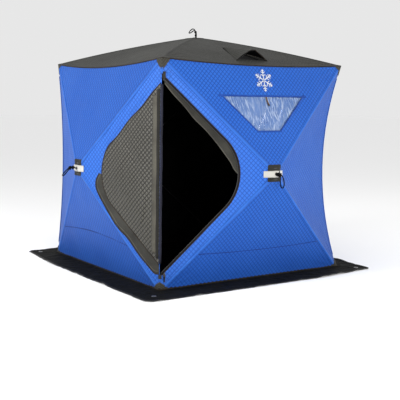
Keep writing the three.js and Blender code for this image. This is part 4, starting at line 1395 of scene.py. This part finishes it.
# ---- corner caps ----
CAP_REACH = 0.076
TOP_REACH = (0.098, 0.062, 0.078, 0.074, 0.078, 0.062)  # a square patch, folded on its diagonal
FOOT_REACH = (0.096, 0.058, 0.066, 0.058, 0.096)
CAP_STEPS = 8
CAP_LIFT = 0.0042


def add_cap(name, corner, rays, reaches, closed, out):
    """A stitched patch folded over a corner: a fan of flat triangles, rounded over the folds."""
    vertices, faces, corners = [corner + out * CAP_LIFT], [], []
    count = len(rays)
    spans = count if closed else count - 1
    for s in range(spans):
        a, b = rays[s] * reaches[s], rays[(s + 1) % count] * reaches[(s + 1) % count]
        for k in range(CAP_STEPS if closed or s < spans - 1 else CAP_STEPS + 1):
            t = k / CAP_STEPS
            for reach in np.arange(1, CAP_STEPS + 1) / CAP_STEPS:
                edge = min(1.0, (1 - reach) * 8)
                lift = CAP_LIFT * (0.55 + 0.45 * edge) + 0.0018 * edge
                lift += 0.0012 * math.sin(math.pi * t) * reach
                vertices.append(corner + (a * (1 - t) + b * t) * reach + out * lift)
    lines = (len(vertices) - 1) // CAP_STEPS
    near = np.arange(1, CAP_STEPS + 1) * CAP_REACH / CAP_STEPS
    for m in range(lines if closed else lines - 1):
        first, second = 1 + m * CAP_STEPS, 1 + (m + 1) % lines * CAP_STEPS
        faces.append((0, first, second))
        corners += [(0, 0), (0, near[0]), (0.01, near[0])]
        for i in range(CAP_STEPS - 1):
            faces.append((first + i, first + i + 1, second + i + 1, second + i))
            u, v = m * 0.01, (m + 1) * 0.01
            corners += [(u, near[i]), (u, near[i + 1]), (v, near[i + 1]), (v, near[i])]
    piece(f"{name}_patch", vertices, faces, "cap", corners=corners, on="shell", node=name)


def add_caps():
    """Seen from outside, the rays run round each corner over the edges that meet there."""
    side_apex = turned([WALL_APEX], 3)[0]
    foot = np.array([-HALF, -HALF, 0.006])
    for q, name in enumerate(CORNERS):
        seam = corner_seam(-1, CORNER_SAG[q])
        front = eaves_seam(EAVES_SAG[q])[::-1]
        side = turned(eaves_seam(EAVES_SAG[(q + 3) % 4]), 3)
        over_top = [seam[-3], WALL_APEX, front[2], (0, 0, PEAK), side[2], side_apex]
        over_foot = [foot + (1, 0, 0), WALL_APEX, seam[2] + (0, 0, 0.006), side_apex, foot + (0, 1, 0)]
        for place, middle, ends, reaches, up in (("top", seam[-1], over_top, TOP_REACH, 1),
                                                 ("bottom", foot, over_foot, FOOT_REACH, 0.15)):
            rays = turned(unit(np.array(ends) - middle), q)
            add_cap(f"corner_cap_{place}_{name}", turned([middle], q)[0], rays, reaches, place == "top",
                    unit(facing(-1, -1, up, q)))


add_caps()

# ---- the snow skirt ----
SQUARE = np.array([(-1, -1), (1, -1), (1, 1), (-1, 1)])
EYELET_RIM = 0.013


def skirt_ring():
    """The skirt's ragged outer edge."""
    near, half = SKIRT_HALF - 0.002 - SKIRT_CORNER, SKIRT_HALF - 0.002
    ring = resample([(near, -half), (half, -near), (half, near), (near, half), (-near, half), (-half, near),
                     (-half, -near), (-near, -half)], 0.02, closed=True)
    drift = 0.006 * (rumple(solid(ring), 0.16, 31) + 0.6 * rumple(solid(ring), 0.05, 39))
    gathered = SKIRT_GATHER * smoothstep((np.abs(ring).sum(1) - 1.6) / 0.7) * (ring[:, 0] * ring[:, 1] < 0)
    return ring * (1 - gathered)[:, None] + unit(ring) * drift[:, None]


def skirt_height(points):
    """Slack cloth on the ground: it rises to the wall, wrinkles along it, and its rim lifts in places."""
    out = np.abs(points).max(1)
    to_wall = smoothstep((HALF + 0.055 - out) / 0.06)
    to_rim = smoothstep((out - SKIRT_HALF + 0.09) / 0.09)
    ridges = np.abs(rumple(solid(points * 0.45), 0.05, 33)) * 0.010
    folds = 0.006 * smoothstep(1 - np.abs(out - HALF - 0.085) / 0.03)
    folds = folds * (0.5 + 0.5 * rumple(solid(points), 0.3, 35))
    lifted = to_rim * 0.014 * np.maximum(rumple(solid(points), 0.22, 37), 0)
    return 0.0015 + 0.012 * to_wall + ridges * (1 - 0.6 * to_wall) + folds + lifted


def add_skirt():
    """Laid cloth with an eyelet in every corner, and its hem."""
    rim = skirt_ring()
    eyelets = [corner * EYELET_AT + ring_points(EYELET_RIM, 20) for corner in SQUARE]
    points, faces = fill(rim, 0.016, [resample(SQUARE * HALF, 0.02, closed=True), *eyelets])
    height = skirt_height(points)
    for hole in eyelets:
        level = smoothstep(np.linalg.norm(points - hole.mean(0), axis=1) / 0.05)
        height = 0.0035 * (1 - level) + height * level
    skirt = piece("snow_skirt_cloth", solid(points, height), faces, "skirt", points,
                  on="shell", node="snow_skirt")
    declare_sheet(skirt, (2 * SKIRT_HALF, 2 * SKIRT_HALF * 0.45))
    inner = rim * (1 - 0.007 / SKIRT_HALF)
    shell_sweep("snow_skirt_hem", solid(inner, skirt_height(inner) + 0.0005), band(0.010, 0.0028),
                "skirt_hem", "skirt_fabric", (0, 0, 1), closed=True)


add_skirt()

# ---- looks of the CAD pieces that stay ----
for name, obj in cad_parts.items():
    for start, material in {"pole_": "pole", "hub_": "hub", "anchor_eyelet_": "eyelet"}.items():
        if name.startswith(start) and not obj.hide_render:
            obj.data.materials.clear()
            obj.data.materials.append(mat[material])


# ---- stage ----
def add_stage():
    """A plain pale floor, dark where the shelter's shade falls on it inside."""
    places = solid(np.vstack([SQUARE * 60.0, SQUARE * HALF]), -0.001)
    faces = [(i, (i + 1) % 4, 4 + (i + 1) % 4, 4 + i) for i in range(4)]
    piece("floor", places, faces, "floor", smooth=False)
    piece("floor_inside", places[4:], [(0, 1, 2, 3)], "shade", smooth=False)


def add_light(name, position, size, power):
    data = bpy.data.lights.new(name, "AREA")
    data.shape = "RECTANGLE"
    data.size, data.size_y = size
    data.energy = power
    lamp = bpy.data.objects.new(name, data)
    lamp.location = position
    lamp.rotation_euler = (Vector((0, 0, 0.9)) - Vector(position)).to_track_quat("-Z", "Y").to_euler()
    bpy.context.scene.collection.objects.link(lamp)


def add_world():
    """Soft light all round, behind a pale background that only the camera sees."""
    world = bpy.data.worlds.new("studio")
    bpy.context.scene.world = world
    world.use_nodes = True
    nodes, links = world.node_tree.nodes, world.node_tree.links
    soft, pale = nodes["Background"], nodes.new("ShaderNodeBackground")
    soft.inputs["Color"].default_value = (1, 1, 1, 1)
    soft.inputs["Strength"].default_value = 0.85
    pale.inputs["Color"].default_value = (0.80, 0.80, 0.80, 1)
    chosen = nodes.new("ShaderNodeMixShader")
    links.new(nodes.new("ShaderNodeLightPath").outputs["Is Camera Ray"], chosen.inputs[0])
    links.new(soft.outputs[0], chosen.inputs[1])
    links.new(pale.outputs[0], chosen.inputs[2])
    links.new(chosen.outputs[0], nodes["World Output"].inputs["Surface"])


add_stage()
add_world()
add_light("front", (-1.6, -6.9, 1.6), (2.4, 2.4), 440)
add_light("left", (-6.8, 0.4, 2.6), (2.4, 2.4), 450)
add_light("fill", (6.3, -3.0, 1.6), (2.0, 2.4), 120)
bpy.context.scene.view_settings.view_transform = "Standard"
